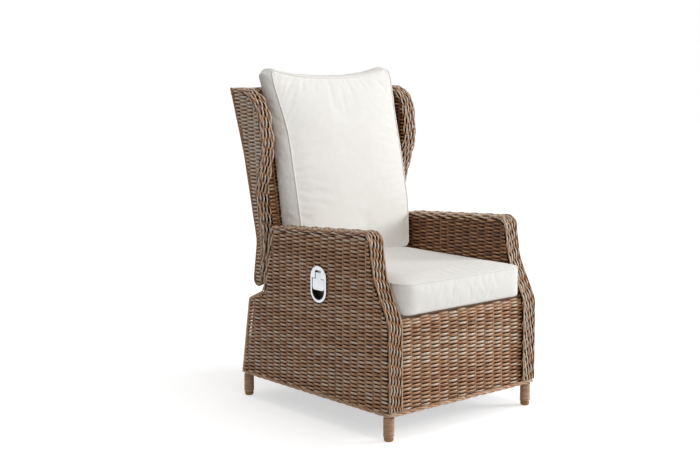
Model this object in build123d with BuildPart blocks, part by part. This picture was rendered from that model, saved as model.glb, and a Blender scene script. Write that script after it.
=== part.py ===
from build123d import *
import os
from math import asin, atan2, ceil, cos, floor, hypot, radians, sin, tan

# A woven lounge chair with a reclining back, in millimetres. The chair faces -Y, +Z is up and the
# origin is on the floor under its middle. Outlines seen from the side are given as (y, z) points.

# Clearances
FIT = 0.3  # between a tube and the weave wrapped over it
RUN = 0.1  # radial clearance of a turning shaft
SLOT_GAP = 3.0  # round a part that passes through the weave

# Weave and overall width
CHAIR_WIDTH = 660.0  # outside of arm to outside of arm
ARM_WIDTH = 58.0
WEAVE = 9.0  # thickness of every woven skin
STAKE_PITCH = 35.3  # between the upright stakes of the outer sides
STAKE_CREST = 12.0  # width of the rib over a stake
STAKE_FOOT = 24.0
STAKE_RELIEF = 4.0  # height of that rib over the weave beside it
BRAID = 14.0  # diameter of the braid round the foot of the base
BRAID_PROUD = 3.0
BRAID_CORNER = 25.0
BRAID_JOIN = 1.0  # past each corner, where the lengths of braid meet
FLOOR_GAP = 78.0  # floor to the underside of the braid

# Side outline of the base, from the rear foot over the arm to the front foot
BASE_REAR_Y = 366.0
SHELF_REAR = (324.0, 347.0)
SHELF_FRONT = (253.0, 379.0)
ARM_REAR = (206.0, 604.0)
ARM_FRONT = (-284.0, 635.0)
ARM_WAIST = (-308.0, 495.0)
BASE_KNEE = (-377.0, 365.0)
BASE_FRONT_Y = -380.0
SHELF_ROUND = 15.0
ARM_REAR_ROUND = 20.0
ARM_FRONT_ROUND = 35.0
WAIST_ROUND = 150.0
KNEE_ROUND = 80.0
FRONT_RECESS = 12.0  # front panel behind the arm fronts

# Frame under the weave
HOOP_TUBE = 25.0
HOOP_BEND = 45.0
TUBE_WALL = 1.5
BASE_RAIL = 25.0
SEAT_RAIL = 20.0
RAIL_WALL = 1.5
RAIL_LIFT = 1.0  # underside of the base rails above the foot of the skins
DECK_TOP = 380.0
DECK = 8.0
REAR_SEAT_RAIL_Y = 212.0
MID_RAIL_Y = -72.0
POST_TUBE = 12.0

# Feet
LEG_SETBACK_X = 20.0  # leg centre in from the side
LEG_SETBACK_FRONT = 25.0
LEG_SETBACK_REAR = 12.0
LEG = 35.0
LEG_STUD = 12.0
STUD_IN_X = 5.0  # stud from the leg's middle, towards the middle of the chair
STUD_IN_Y = 9.0
GLIDE = 12.0  # height of the glide
GLIDE_TOP = 32.0
GLIDE_TIP = 26.0

# Back, seen from the side
PIVOT = (281.0, 415.75)
BACK_BEND = (276.0, 548.0)
BACK_CURVE = (325.0, 835.0)
BACK_TOP = (383.0, 1050.0)
WING_TOP = (236.0, 1053.0)
WING_FRONT = (210.0, 865.0)
WING_FOOT_Z = 705.0
BEND_ROUND = 120.0
CURVE_ROUND = 400.0
WING_TOP_ROUND = 110.0
WING_FRONT_ROUND = 150.0
WING_FOOT_ROUND = 60.0
SPLAY = 2.7  # degrees that each cheek leans out
SPLAY_Z = 545.0  # height at which the cheeks are as wide as the arms
WING_WIDTH = 48.0
BACK_TUBE = 27.0
CROSS_TUBE = 16.0
MID_TUBE_HEIGHTS = (700.0, 870.0)
WING_TUBE = 12.0

# Hinge of the back
LUG = 8.0
LUG_IN = 24.0  # lug's middle in from the inside of the arm
LUG_RING = 22.0
LUG_FOOT = 36.0
LUG_FOOT_THICK = 6.0
BUSH_WALL = 2.2
BOLT = 6.0
BOLT_HEAD = 10.0
BOLT_HEAD_HIGH = 4.0
BOLT_SPREAD = 26.0

# Crank and lockable gas spring
CRANK_LENGTH = 100.0
CRANK_LEAN = 4.0  # degrees behind straight down when the back is upright
CRANK_PLATE = 5.0
CRANK_GAP = 18.0  # between the two plates
CRANK_BOSS = 35.0
CRANK_EYE = 24.0
CRANK_HOLE = 15.0
CRANK_PIN = 8.0
PIN_HEAD = 18.0
PIN_HEAD_THICK = 3.0
PIN_DROP = (-0.76, -2.77)  # pin from the middle of the crank's hole when upright
GAS_HEAD = (-32.5, 312.0)
GAS_CYLINDER = 28.0
GAS_CYLINDER_LENGTH = 200.0
CYLINDER_ROUND = 2.0
GAS_ROD = 10.0
GAS_ROD_LENGTH = 125.0
GAS_BORE_DEPTH = 115.0
EYE_RING = 18.0
EYE_WIDTH = 16.0
EYE_NECK = 20.0  # eye centre to the end of the cylinder
HEAD_WIDTH = 22.0
HEAD_HEIGHT = 20.0
HEAD_LENGTH = 32.0
HEAD_ROUND = 3.3
HEAD_WASHER = 1.5
HEAD_PIN = 8.0
HEAD_PIN_RIM = 15.0
BRACKET_PLATE = 5.0
BRACKET_EYE = 22.0
BRACKET_GAP = 0.5

# Release handle in the left side
HANDLE_Y = -48.0
HANDLE_Z = 444.0
BEZEL_HEIGHT = 118.0
BEZEL_WIDTH = 76.0
BEZEL = 3.0
BEZEL_PAD = 3.0  # level weave round the bezel
CUP_WALL = 4.0
CUP_DEPTH = 24.0
RECESS_WIDTH = 60.0
RECESS_TOP = 19.0  # above the handle's middle
RECESS_LOW = -50.0
RECESS_DEPTH = 20.0
STEM_WIDTH = 25.0
STEM_GAP = 2.0
PADDLE_WIDTH = 56.0
PADDLE_SHOULDER = 17.0
PADDLE_LOW = -19.0
PADDLE_CORNER = 9.3
PADDLE = 4.0
PADDLE_PROUD = 2.0
PADDLE_PIN = 5.0
PADDLE_PIN_LENGTH = 42.0
PADDLE_PIN_UP = 38.0
PADDLE_PIN_IN = 9.0  # behind the face of the arm
BARREL = 10.0
BARREL_WIDTH = 14.0
SLOT_TOP = 45.0
POCKET_DEPTH = 17.0
SPRING_COIL = 9.0
SPRING_LENGTH = 9.0
BACKPLATE = 3.0
BACKPLATE_RIM = 8.0

# Release cable and lever
CABLE = 6.0
CABLE_IN = 18.0  # cable behind the face of the arm
CABLE_BEND = 60.0
LEVER_LENGTH = 42.0
LEVER = 4.0
LEVER_EYE = 14.0
LEVER_STUD = 7.0
LEVER_TIP = 9.4
LEVER_HOLE = 3.0
ANCHOR_X = -46.0
ANCHOR = 4.0
ANCHOR_WIDTH = 40.0
ANCHOR_BELOW = 8.0

# Cushions
SEAT_FRONT_Y = -379.0
SEAT_REAR_Y = 219.0
SEAT_SIDE_GAP = 2.0  # between the cushion and each arm
SEAT_EDGE_Z = 477.0
SEAT_CROWN = 10.0
SEAT_BULGE = 4.0
SEAT_TUCK = 12.0  # how far the cushion's ends draw in
SEAT_STATIONS = ((0.6, 0.1), (0.93, 0.4), (1.0, 1.0))  # shares of the half width, and of the tuck there
BACK_CUSHION_GAP = 14.0  # cushion's end in from the inside of the arm
BACK_CUSHION_FOOT = 490.0
BACK_CUSHION_TOP = 1082.0
BACK_CUSHION_EAR = 1101.0
EAR_IN = 32.0  # ear in from the cushion's end
BACK_CUSHION_FRONT = (134.0, 272.0)  # front face at its foot and at its top, before its bulge
BACK_CUSHION_BULGE = 10.0
CUSHION_ROUND = 8.0  # rise of the rounded edges
EDGE_TUCK = 1.0  # back cushion drawn in half way to its ears
EAR_TUCK = 6.0
BACK_CUSHION_TUCK = 20.0
EDGE_DIP = 4.0  # top edge below a straight line, half way to the ears
EAR_LIFT = 2.0  # lower edge above the foot, under the ears
END_LIFT = 14.0  # lower edge above the foot, at the ends
END_DROP = 22.0  # top edge below the ears, at the ends

# Places worked out from the sizes above
HALF = CHAIR_WIDTH / 2
ARM_INNER = HALF - ARM_WIDTH
ARM_MID = HALF - ARM_WIDTH / 2
SKIN_FOOT = FLOOR_GAP + BRAID
RAIL_UNDER = SKIN_FOOT + RAIL_LIFT
RAIL_TOP = RAIL_UNDER + BASE_RAIL
DECK_UNDER = DECK_TOP - DECK
SEAT_RAIL_UNDER = DECK_UNDER - SEAT_RAIL
BACK_DEPTH = BACK_TUBE + 2 * (WEAVE + FIT)
HEEL = BACK_DEPTH / 2
LUG_X = ARM_INNER - LUG_IN
CABLE_X = CABLE_IN - HALF
SEAT_HALF = ARM_INNER - SEAT_SIDE_GAP
BACK_CUSHION_HALF = ARM_INNER - BACK_CUSHION_GAP
EAR_X = BACK_CUSHION_HALF - EAR_IN


def meet(a, b, c, d):
    """The point where the line through a and b crosses the line through c and d."""
    run, rise = b[0] - a[0], b[1] - a[1]
    other_run, other_rise = d[0] - c[0], d[1] - c[1]
    along = ((c[0] - a[0]) * other_rise - (c[1] - a[1]) * other_run) / (run * other_rise - rise * other_run)
    return (a[0] + along * run, a[1] + along * rise)


def at_height(a, b, z):
    """The point at height z on the line through a and b."""
    return meet(a, b, (0, z), (1, z))


def inset(points, distance, level=False):
    """A path moved to the left of its travel; level ends keep the height of the first path's ends."""
    lines = []
    for a, b in zip(points, points[1:]):
        length = hypot(b[0] - a[0], b[1] - a[1])
        across, up = (a[1] - b[1]) * distance / length, (b[0] - a[0]) * distance / length
        lines.append(((a[0] + across, a[1] + up), (b[0] + across, b[1] + up)))
    corners = [meet(*first, *second) for first, second in zip(lines, lines[1:])]
    start, end = lines[0][0], lines[-1][1]
    if level:
        start, end = at_height(*lines[0], points[0][1]), at_height(*lines[-1], points[-1][1])
    return [start, *corners, end]


def inset_radii(points, radii, distance, least=0.0):
    """The corner radii of that moved path: smaller on left turns, larger on right turns."""
    moved = []
    for a, b, c, radius in zip(points, points[1:], points[2:], radii):
        turn = (b[0] - a[0]) * (c[1] - b[1]) - (b[1] - a[1]) * (c[0] - b[0])
        grown = radius - distance if turn > 0 else radius + distance
        moved.append(max(grown, least) if radius else least)
    return moved


def strip(outer, outer_radii, inner, inner_radii):
    """The face between two paths seen from the side."""
    with BuildSketch(Plane.YZ) as face:
        with BuildLine():
            FilletPolyline(*outer, radius=outer_radii)
            FilletPolyline(*inner, radius=inner_radii)
            Line(outer[0], inner[0])
            Line(outer[-1], inner[-1])
        make_face()
    return face.sketch


def between(face, low_x, high_x):
    """A side face given its width along X."""
    with BuildPart() as piece:
        extrude(face.moved(Location((low_x, 0, 0))), amount=high_x - low_x)
    return piece


def mirrored(right):
    """The left-hand twin of a right-hand piece."""
    with BuildPart() as left:
        mirror(right.part, about=Plane.YZ)
    return left


def tube(path, diameter, wall=0.0):
    """A round tube along a path, or a solid bar where no wall is given."""
    with BuildPart() as piece:
        with BuildSketch(Plane(origin=path @ 0, z_dir=path % 0)):
            Circle(diameter / 2)
            if wall:
                Circle(diameter / 2 - wall, mode=Mode.SUBTRACT)
        sweep(path=path)
    return piece


def cross_tube(point, half_length, diameter, wall=0.0):
    """A straight tube along X through a (y, z) point."""
    with BuildPart() as piece:
        with BuildSketch(Plane.YZ.offset(-half_length)):
            with Locations(point):
                Circle(diameter / 2)
                if wall:
                    Circle(diameter / 2 - wall, mode=Mode.SUBTRACT)
        extrude(amount=2 * half_length)
    return piece


# Side paths of the base
side = [
    (BASE_REAR_Y, SKIN_FOOT),
    SHELF_REAR,
    SHELF_FRONT,
    ARM_REAR,
    ARM_FRONT,
    ARM_WAIST,
    BASE_KNEE,
    (BASE_FRONT_Y, SKIN_FOOT),
]
side_radii = [SHELF_ROUND, 0.0, ARM_REAR_ROUND, ARM_FRONT_ROUND, WAIST_ROUND, KNEE_ROUND]
side_in = inset(side, WEAVE, level=True)
side_in_radii = inset_radii(side, side_radii, WEAVE)

# Woven skins of the base: one band over each arm, a rear panel with its shelf, and flat sides
arm_band_face = strip(side[2:], side_radii[2:], side_in[2:], side_in_radii[2:])
right_arm_band = between(arm_band_face, ARM_INNER, HALF)
left_arm_band = mirrored(right_arm_band)

rear_face = strip(side[:3], side_radii[:1], side_in[:3], side_in_radii[:1])
with BuildPart() as rear_panel:
    extrude(rear_face, amount=HALF, both=True)
    slot_start = SHELF_FRONT[0] - WEAVE
    slot_height = 2 * (SHELF_FRONT[1] - SHELF_REAR[1] + WEAVE)
    slot_align = (Align.CENTER, Align.MIN, Align.CENTER)
    with Locations((LUG_X, slot_start, SHELF_FRONT[1]), (-LUG_X, slot_start, SHELF_FRONT[1])):
        lug_slot = PIVOT[0] - slot_start
        Box(LUG + 2 * SLOT_GAP, lug_slot, slot_height, align=slot_align, mode=Mode.SUBTRACT)
    with Locations((0, slot_start, SHELF_FRONT[1])):
        crank_slot = CRANK_GAP + 2 * CRANK_PLATE + 2 * SLOT_GAP
        crank_slot_length = PIVOT[0] + CRANK_BOSS / 2 + SLOT_GAP - slot_start
        Box(crank_slot, crank_slot_length, slot_height, align=slot_align, mode=Mode.SUBTRACT)

with BuildSketch(Plane.YZ) as side_panel_face:
    with BuildLine():
        FilletPolyline(*side_in, radius=side_in_radii)
        Line(side_in[0], side_in[-1])
    make_face()

# The outer sides stand out in a rib over each stake
first_stake = ceil(side_in[-1][0] / STAKE_PITCH)
last_stake = floor(side_in[0][0] / STAKE_PITCH)
hollow_mouth = (STAKE_PITCH - STAKE_CREST) / 2
hollow_floor = (STAKE_PITCH - STAKE_FOOT) / 2
with BuildPart() as right_outer_panel:
    extrude(side_panel_face.sketch.moved(Location((HALF - WEAVE, 0, 0))), amount=WEAVE)
    with BuildSketch(Plane.XY.offset(SKIN_FOOT)):
        for stake in range(first_stake, last_stake):
            middle = (stake + 0.5) * STAKE_PITCH
            Polygon(
                (HALF, middle - hollow_mouth),
                (HALF, middle + hollow_mouth),
                (HALF - STAKE_RELIEF, middle + hollow_floor),
                (HALF - STAKE_RELIEF, middle - hollow_floor),
                align=None,
            )
    extrude(amount=ARM_FRONT[1] - SKIN_FOOT, mode=Mode.SUBTRACT)

handle_plane = Plane(origin=(-HALF, HANDLE_Y, HANDLE_Z), x_dir=(0, -1, 0), z_dir=(-1, 0, 0))
cup_width = RECESS_WIDTH + 2 * CUP_WALL
cup_height = BEZEL_HEIGHT - BEZEL_WIDTH + cup_width
with BuildPart() as left_outer_panel:
    mirror(right_outer_panel.part, about=Plane.YZ)
    with BuildSketch(handle_plane):
        SlotOverall(BEZEL_HEIGHT + 2 * BEZEL_PAD, BEZEL_WIDTH + 2 * BEZEL_PAD, rotation=90)
    extrude(amount=-WEAVE)
    with BuildSketch(handle_plane):
        SlotOverall(cup_height + 2 * FIT, cup_width + 2 * FIT, rotation=90)
    extrude(amount=-WEAVE, mode=Mode.SUBTRACT)

with BuildPart() as right_inner_panel:
    extrude(side_panel_face.sketch.moved(Location((ARM_INNER, 0, 0))), amount=WEAVE)
    split(bisect_by=Plane.XY.offset(DECK_UNDER), keep=Keep.TOP)
    split(bisect_by=Plane(origin=(0, *SHELF_FRONT), z_dir=(0, -1, 0)), keep=Keep.TOP)
left_inner_panel = mirrored(right_inner_panel)

front_edge = side[4:]
front_radii = side_radii[4:]
front_out = inset(front_edge, FRONT_RECESS, level=True)
front_in = inset(front_edge, FRONT_RECESS + WEAVE, level=True)
front_face = strip(
    front_out,
    inset_radii(front_edge, front_radii, FRONT_RECESS),
    front_in,
    inset_radii(front_edge, front_radii, FRONT_RECESS + WEAVE),
)
with BuildPart() as front_panel:
    extrude(front_face, amount=ARM_INNER, both=True)
    split(bisect_by=Plane.XY.offset(DECK_UNDER), keep=Keep.BOTTOM)

# Braid round the foot of the base, laid as four lengths
braid_z = FLOOR_GAP + BRAID / 2
braid_x = HALF + BRAID_PROUD - BRAID / 2
braid_front = BASE_FRONT_Y - BRAID_PROUD + BRAID / 2
braid_rear = BASE_REAR_Y + BRAID_PROUD - BRAID / 2
with BuildPart() as bottom_braid:
    for end_y, inward in ((braid_front, 1), (braid_rear, -1)):
        turn_y = end_y + inward * BRAID_CORNER
        with BuildLine(Plane.XY.offset(braid_z)) as end_path:
            FilletPolyline(
                (-braid_x, turn_y + inward * BRAID_JOIN),
                (-braid_x, end_y),
                (braid_x, end_y),
                (braid_x, turn_y + inward * BRAID_JOIN),
                radius=BRAID_CORNER,
            )
        with BuildSketch(Plane(origin=end_path.line @ 0, z_dir=end_path.line % 0)):
            Circle(BRAID / 2)
        sweep(path=end_path.line)
with BuildPart() as side_braid:
    straight_start = braid_front + BRAID_CORNER + BRAID_JOIN
    straight_end = braid_rear - BRAID_CORNER - BRAID_JOIN
    with BuildSketch(Plane.XZ.offset(-straight_start)):
        with Locations((-braid_x, braid_z), (braid_x, braid_z)):
            Circle(BRAID / 2)
    extrude(amount=straight_start - straight_end)
bottom_braid.part = Compound(children=[*bottom_braid.part.solids(), *side_braid.part.solids()])

# Arm hoops: one bent tube under each arm band
hoop_inset = WEAVE + FIT + HOOP_TUBE / 2
hoop_below = RAIL_TOP - HOOP_TUBE
hoop_edge = [at_height(ARM_REAR, SHELF_FRONT, hoop_below), *side[3:7], (BASE_FRONT_Y, hoop_below)]
hoop_points = inset(hoop_edge, hoop_inset, level=True)
hoop_radii = inset_radii(hoop_edge, side_radii[2:], hoop_inset, HOOP_BEND)
with BuildLine(Plane.YZ.offset(ARM_MID)) as hoop_path:
    FilletPolyline(*hoop_points, radius=hoop_radii)
hoop_bar = tube(hoop_path.line, HOOP_TUBE)
with BuildPart() as right_arm_hoop:
    add(tube(hoop_path.line, HOOP_TUBE, TUBE_WALL).part)
    split(bisect_by=Plane.XY.offset(RAIL_TOP), keep=Keep.TOP)
left_arm_hoop = mirrored(right_arm_hoop)

# Base rails, standing just inside the foot of the skins
rail_z = RAIL_UNDER + BASE_RAIL / 2
side_rail_front = BASE_FRONT_Y + WEAVE + FIT
side_rail_rear = at_height(side_in[0], side_in[1], RAIL_TOP)[0] - FIT
front_cross_y = at_height(front_in[-2], front_in[-1], RAIL_TOP)[0] + FIT + BASE_RAIL / 2
rear_cross_y = side_rail_rear - BASE_RAIL / 2
cross_rail_length = 2 * ARM_MID - BASE_RAIL
with BuildPart() as bottom_side_rails:
    middle_y = (side_rail_front + side_rail_rear) / 2
    with Locations((ARM_MID, middle_y, rail_z), (-ARM_MID, middle_y, rail_z)):
        Box(BASE_RAIL, side_rail_rear - side_rail_front, BASE_RAIL)
        hollow = BASE_RAIL - 2 * RAIL_WALL
        Box(hollow, side_rail_rear - side_rail_front, hollow, mode=Mode.SUBTRACT)
with BuildPart() as bottom_cross_rails:
    with Locations((0, front_cross_y, rail_z), (0, rear_cross_y, rail_z)):
        Box(cross_rail_length, BASE_RAIL, BASE_RAIL)
        Box(cross_rail_length, hollow, hollow, mode=Mode.SUBTRACT)

# Seat rails under the deck
seat_rail_z = DECK_UNDER - SEAT_RAIL / 2
seat_hollow = SEAT_RAIL - 2 * RAIL_WALL
front_seat_y = at_height(front_in[1], front_in[2], DECK_UNDER)[0] + SEAT_RAIL / 2
with BuildPart() as front_seat_rail:
    with Locations((0, front_seat_y, seat_rail_z)):
        Box(2 * ARM_MID, SEAT_RAIL, SEAT_RAIL)
        Box(2 * ARM_MID, seat_hollow, seat_hollow, mode=Mode.SUBTRACT)
    add(hoop_bar.part, mode=Mode.SUBTRACT)
    add(mirrored(hoop_bar).part, mode=Mode.SUBTRACT)
with BuildPart() as rear_seat_rail:
    with Locations((0, REAR_SEAT_RAIL_Y, seat_rail_z)):
        Box(2 * ARM_MID, SEAT_RAIL, SEAT_RAIL)
        Box(2 * ARM_MID, seat_hollow, seat_hollow, mode=Mode.SUBTRACT)
    add(hoop_bar.part, mode=Mode.SUBTRACT)
    add(mirrored(hoop_bar).part, mode=Mode.SUBTRACT)
rear_rail_face = REAR_SEAT_RAIL_Y + SEAT_RAIL / 2
with BuildPart() as seat_side_rails:
    rail_x = ARM_INNER - SEAT_RAIL / 2
    rail_from = front_seat_y + SEAT_RAIL / 2
    rail_to = REAR_SEAT_RAIL_Y - SEAT_RAIL / 2
    rail_y = (rail_from + rail_to) / 2
    with Locations((rail_x, rail_y, seat_rail_z), (-rail_x, rail_y, seat_rail_z)):
        Box(SEAT_RAIL, rail_to - rail_from, SEAT_RAIL)
        Box(seat_hollow, rail_to - rail_from, seat_hollow, mode=Mode.SUBTRACT)
with BuildPart() as mid_rail:
    with Locations((0, MID_RAIL_Y, SEAT_RAIL_UNDER - BASE_RAIL / 2)):
        Box(2 * ARM_INNER, BASE_RAIL, BASE_RAIL)
        Box(2 * ARM_INNER, hollow, hollow, mode=Mode.SUBTRACT)
deck_front = at_height(front_out[1], front_out[2], DECK_TOP)[0]
with BuildPart() as seat_deck:
    with Locations((0, (deck_front + rear_rail_face) / 2, DECK_TOP - DECK / 2)):
        Box(2 * ARM_INNER, rear_rail_face - deck_front, DECK)

# Posts and rail that carry the shelf behind the seat
post_inset = WEAVE + FIT + max(POST_TUBE / 2, SHELF_ROUND - WEAVE)
post_line = inset(side[:3], post_inset)
shelf_point = post_line[1]
shelf_rail = cross_tube(shelf_point, HALF - WEAVE - FIT, POST_TUBE, TUBE_WALL)
shelf_bar = cross_tube(shelf_point, HALF, POST_TUBE)
post_foot = at_height(post_line[0], post_line[1], RAIL_TOP - POST_TUBE)
with BuildLine(Plane.YZ.offset(ARM_MID)) as post_path:
    Line(post_foot, shelf_point)
right_post = tube(post_path.line, POST_TUBE, TUBE_WALL)
with BuildPart() as rear_posts:
    add(right_post.part)
    mirror(right_post.part, about=Plane.YZ)
    add(shelf_bar.part, mode=Mode.SUBTRACT)
    split(bisect_by=Plane.XY.offset(RAIL_TOP), keep=Keep.TOP)

# Legs with a stud into the base rails, and the glides under them
leg_x = HALF - LEG_SETBACK_X
leg_front = BASE_FRONT_Y + LEG_SETBACK_FRONT
leg_rear = BASE_REAR_Y - LEG_SETBACK_REAR
leg_top = FLOOR_GAP - FIT
standing = (Align.CENTER, Align.CENTER, Align.MIN)
stud_x = leg_x - STUD_IN_X
with BuildPart() as legs:
    with Locations(*[(x, y, GLIDE) for x in (-leg_x, leg_x) for y in (leg_front, leg_rear)]):
        Cylinder(LEG / 2, leg_top - GLIDE, align=standing)
    stud_ys = (leg_front + STUD_IN_Y, leg_rear - STUD_IN_Y)
    with Locations(*[(x, y, leg_top) for x in (-stud_x, stud_x) for y in stud_ys]):
        Cylinder(LEG_STUD / 2, RAIL_UNDER - leg_top, align=standing)
with BuildPart() as foot_glides:
    with Locations(*[(x, y, 0) for x in (-leg_x, leg_x) for y in (leg_front, leg_rear)]):
        Cone(GLIDE_TIP / 2, GLIDE_TOP / 2, GLIDE, align=standing)

# Side paths of the back. The heel is a half circle about the pivot, tangent to the rear line.
reach = (BACK_BEND[0] - PIVOT[0], BACK_BEND[1] - PIVOT[1])
tail_angle = atan2(reach[1], reach[0]) + asin(HEEL / hypot(*reach))
tail_up = (cos(tail_angle), sin(tail_angle))


def heel_point(radius, side_sign):
    """The end of the heel's half circle, on the rear side for +1 and on the front side for -1."""
    return (PIVOT[0] + side_sign * radius * tail_up[1], PIVOT[1] - side_sign * radius * tail_up[0])


def heel_low(radius):
    """The lowest point of the heel's half circle."""
    return (PIVOT[0] - radius * tail_up[0], PIVOT[1] - radius * tail_up[1])


rear_path = [heel_point(HEEL, 1), BACK_BEND, BACK_CURVE, BACK_TOP]
rear_radii = [BEND_ROUND, CURVE_ROUND]
front_path = inset(rear_path, BACK_DEPTH)
front_path_radii = inset_radii(rear_path, rear_radii, BACK_DEPTH)
wing_foot = at_height(front_path[1], front_path[2], WING_FOOT_Z)
cheek = [*rear_path, WING_TOP, WING_FRONT, wing_foot, front_path[1], heel_point(HEEL, -1)]
cheek_radii = [*rear_radii, 0.0, WING_TOP_ROUND, WING_FRONT_ROUND, WING_FOOT_ROUND, front_path_radii[0]]
cheek_in = inset(cheek, WEAVE)
cheek_in_radii = inset_radii(cheek, cheek_radii, WEAVE)
skin_heel = HEEL - WEAVE

cheek_plane = Plane(
    origin=(HALF, 0, SPLAY_Z), x_dir=(0, 1, 0), z_dir=(cos(radians(SPLAY)), 0, -sin(radians(SPLAY)))
)
left_cheek_plane = Plane(
    origin=(-HALF, 0, SPLAY_Z), x_dir=(0, 1, 0), z_dir=(-cos(radians(SPLAY)), 0, -sin(radians(SPLAY)))
)


def cheek_slab(face, depth_from, depth_to):
    """A side face between two depths in from the leaning outside of the right cheek."""
    with BuildPart() as piece:
        extrude(face, amount=CHAIR_WIDTH)
        split(bisect_by=cheek_plane.offset(-depth_from), keep=Keep.BOTTOM)
        split(bisect_by=cheek_plane.offset(-depth_to), keep=Keep.TOP)
    return piece


def back_slab(face, depth):
    """A side face across the whole back, ending at a depth in from both leaning cheeks."""
    with BuildPart() as piece:
        extrude(face, amount=CHAIR_WIDTH, both=True)
        split(bisect_by=cheek_plane.offset(-depth), keep=Keep.BOTTOM)
        split(bisect_by=left_cheek_plane.offset(-depth), keep=Keep.BOTTOM)
    return piece


lug_notch = LUG + 2 * SLOT_GAP
crank_notch = CRANK_GAP + 2 * CRANK_PLATE + SLOT_GAP
notch_reach = 3 * LUG_RING


def heel_notches():
    """The gaps in the heel for the two hinge lugs and for the crank."""
    with BuildPart() as notches:
        above = LUG_RING + SLOT_GAP
        with Locations(*[(x, PIVOT[0], PIVOT[1] + above) for x in (-LUG_X, LUG_X)]):
            Box(lug_notch, notch_reach, notch_reach, align=(Align.CENTER, Align.CENTER, Align.MAX))
        with Locations((0, PIVOT[0], PIVOT[1] + above)):
            Box(crank_notch, notch_reach, notch_reach, align=(Align.CENTER, Align.CENTER, Align.MAX))
    return notches


# Woven skins of the back
with BuildSketch(Plane.YZ) as rear_skin_face:
    with BuildLine():
        ThreePointArc(heel_point(HEEL, -1), heel_low(HEEL), heel_point(HEEL, 1))
        FilletPolyline(*rear_path, radius=rear_radii)
        Line(rear_path[-1], cheek_in[3])
        FilletPolyline(*cheek_in[:4], radius=cheek_in_radii[:2])
        ThreePointArc(heel_point(skin_heel, -1), heel_low(skin_heel), heel_point(skin_heel, 1))
        Line(heel_point(HEEL, -1), heel_point(skin_heel, -1))
    make_face()
rear_skin = back_slab(rear_skin_face.sketch, 0)
with BuildPart() as back_rear_skin:
    add(rear_skin.part)
    add(heel_notches().part, mode=Mode.SUBTRACT)

top_line = (BACK_TOP, WING_TOP)
top_under = tuple(inset(top_line, WEAVE))
lining_path = inset(rear_path, BACK_DEPTH - WEAVE)
skin_front = [*front_path[:3], meet(front_path[2], front_path[3], *top_under)]
skin_rear = [*lining_path[:3], meet(lining_path[2], lining_path[3], *top_under)]
front_skin_face = strip(
    skin_front,
    front_path_radii,
    skin_rear,
    inset_radii(rear_path, rear_radii, BACK_DEPTH - WEAVE),
)
front_skin = back_slab(front_skin_face, WING_WIDTH)
with BuildPart() as back_front_skin:
    add(front_skin.part)
    add(heel_notches().part, mode=Mode.SUBTRACT)

with BuildSketch(Plane.YZ) as top_band_face:
    with BuildLine():
        Polyline(
            BACK_TOP,
            meet(front_path[2], front_path[3], *top_line),
            skin_front[-1],
            cheek_in[3],
            close=True,
        )
    make_face()
back_top_band = back_slab(top_band_face.sketch, WING_WIDTH)

wing_band_face = strip(cheek[3:], cheek_radii[3:], cheek_in[3:], cheek_in_radii[3:])
right_wing_band = cheek_slab(wing_band_face, 0, WING_WIDTH)
left_wing_band = mirrored(right_wing_band)

with BuildSketch(Plane.YZ) as cheek_face:
    with BuildLine():
        FilletPolyline(*cheek_in, radius=cheek_in_radii)
        ThreePointArc(heel_point(skin_heel, -1), heel_low(skin_heel), heel_point(skin_heel, 1))
    make_face()
right_cheek_skin = cheek_slab(cheek_face.sketch, 0, WEAVE)
left_cheek_skin = mirrored(right_cheek_skin)

back_core_face = strip(rear_path, rear_radii, front_path, front_path_radii)
wing_side = cheek_slab(cheek_face.sketch, WING_WIDTH - WEAVE, WING_WIDTH)
with BuildPart() as right_wing_lining:
    add(wing_side.part)
    extrude(back_core_face, amount=CHAIR_WIDTH, mode=Mode.SUBTRACT)
    split(bisect_by=Plane.XY.offset(BACK_BEND[1]), keep=Keep.TOP)
left_wing_lining = mirrored(right_wing_lining)

# Tube frame of the back
back_middle = inset(rear_path, HEEL)
back_middle_radii = inset_radii(rear_path, rear_radii, HEEL)
stile_depth = WEAVE + FIT + BACK_TUBE / 2


def on_cheek(points):
    """Side points as coordinates on the leaning plane of the stiles."""
    plane_z = SPLAY_Z + stile_depth * sin(radians(SPLAY))
    return [(y, (z - plane_z) / cos(radians(SPLAY))) for y, z in points]


tail_lean = tan(radians(SPLAY)) * (PIVOT[1] - SPLAY_Z)
bottom_half = HALF + tail_lean - WEAVE / cos(radians(SPLAY)) - tan(radians(SPLAY)) * BACK_TUBE / 2 - FIT
back_bottom_tube = cross_tube(PIVOT, bottom_half, BACK_TUBE, TUBE_WALL)
bottom_bar = cross_tube(PIVOT, HALF, BACK_TUBE)
with BuildLine(cheek_plane.offset(-stile_depth)) as stile_path:
    FilletPolyline(*on_cheek(back_middle), radius=back_middle_radii)
right_stile = tube(stile_path.line, BACK_TUBE, TUBE_WALL)
stile_bar = tube(stile_path.line, BACK_TUBE)
stile_top = inset(top_line, WEAVE + FIT)
top_rise = (0, stile_top[1][1] - stile_top[0][1], stile_top[0][0] - stile_top[1][0])
with BuildPart() as back_stiles:
    add(right_stile.part)
    mirror(right_stile.part, about=Plane.YZ)
    add(bottom_bar.part, mode=Mode.SUBTRACT)
    split(bisect_by=Plane(origin=(0, *stile_top[0]), z_dir=top_rise), keep=Keep.BOTTOM)


def frame_tube(point):
    """A tube across the back, coped onto both stiles."""
    with BuildPart() as piece:
        add(cross_tube(point, CHAIR_WIDTH, CROSS_TUBE, TUBE_WALL).part)
        split(bisect_by=cheek_plane.offset(-stile_depth), keep=Keep.BOTTOM)
        split(bisect_by=left_cheek_plane.offset(-stile_depth), keep=Keep.BOTTOM)
        add(stile_bar.part, mode=Mode.SUBTRACT)
        add(mirrored(stile_bar).part, mode=Mode.SUBTRACT)
    return piece


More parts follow.
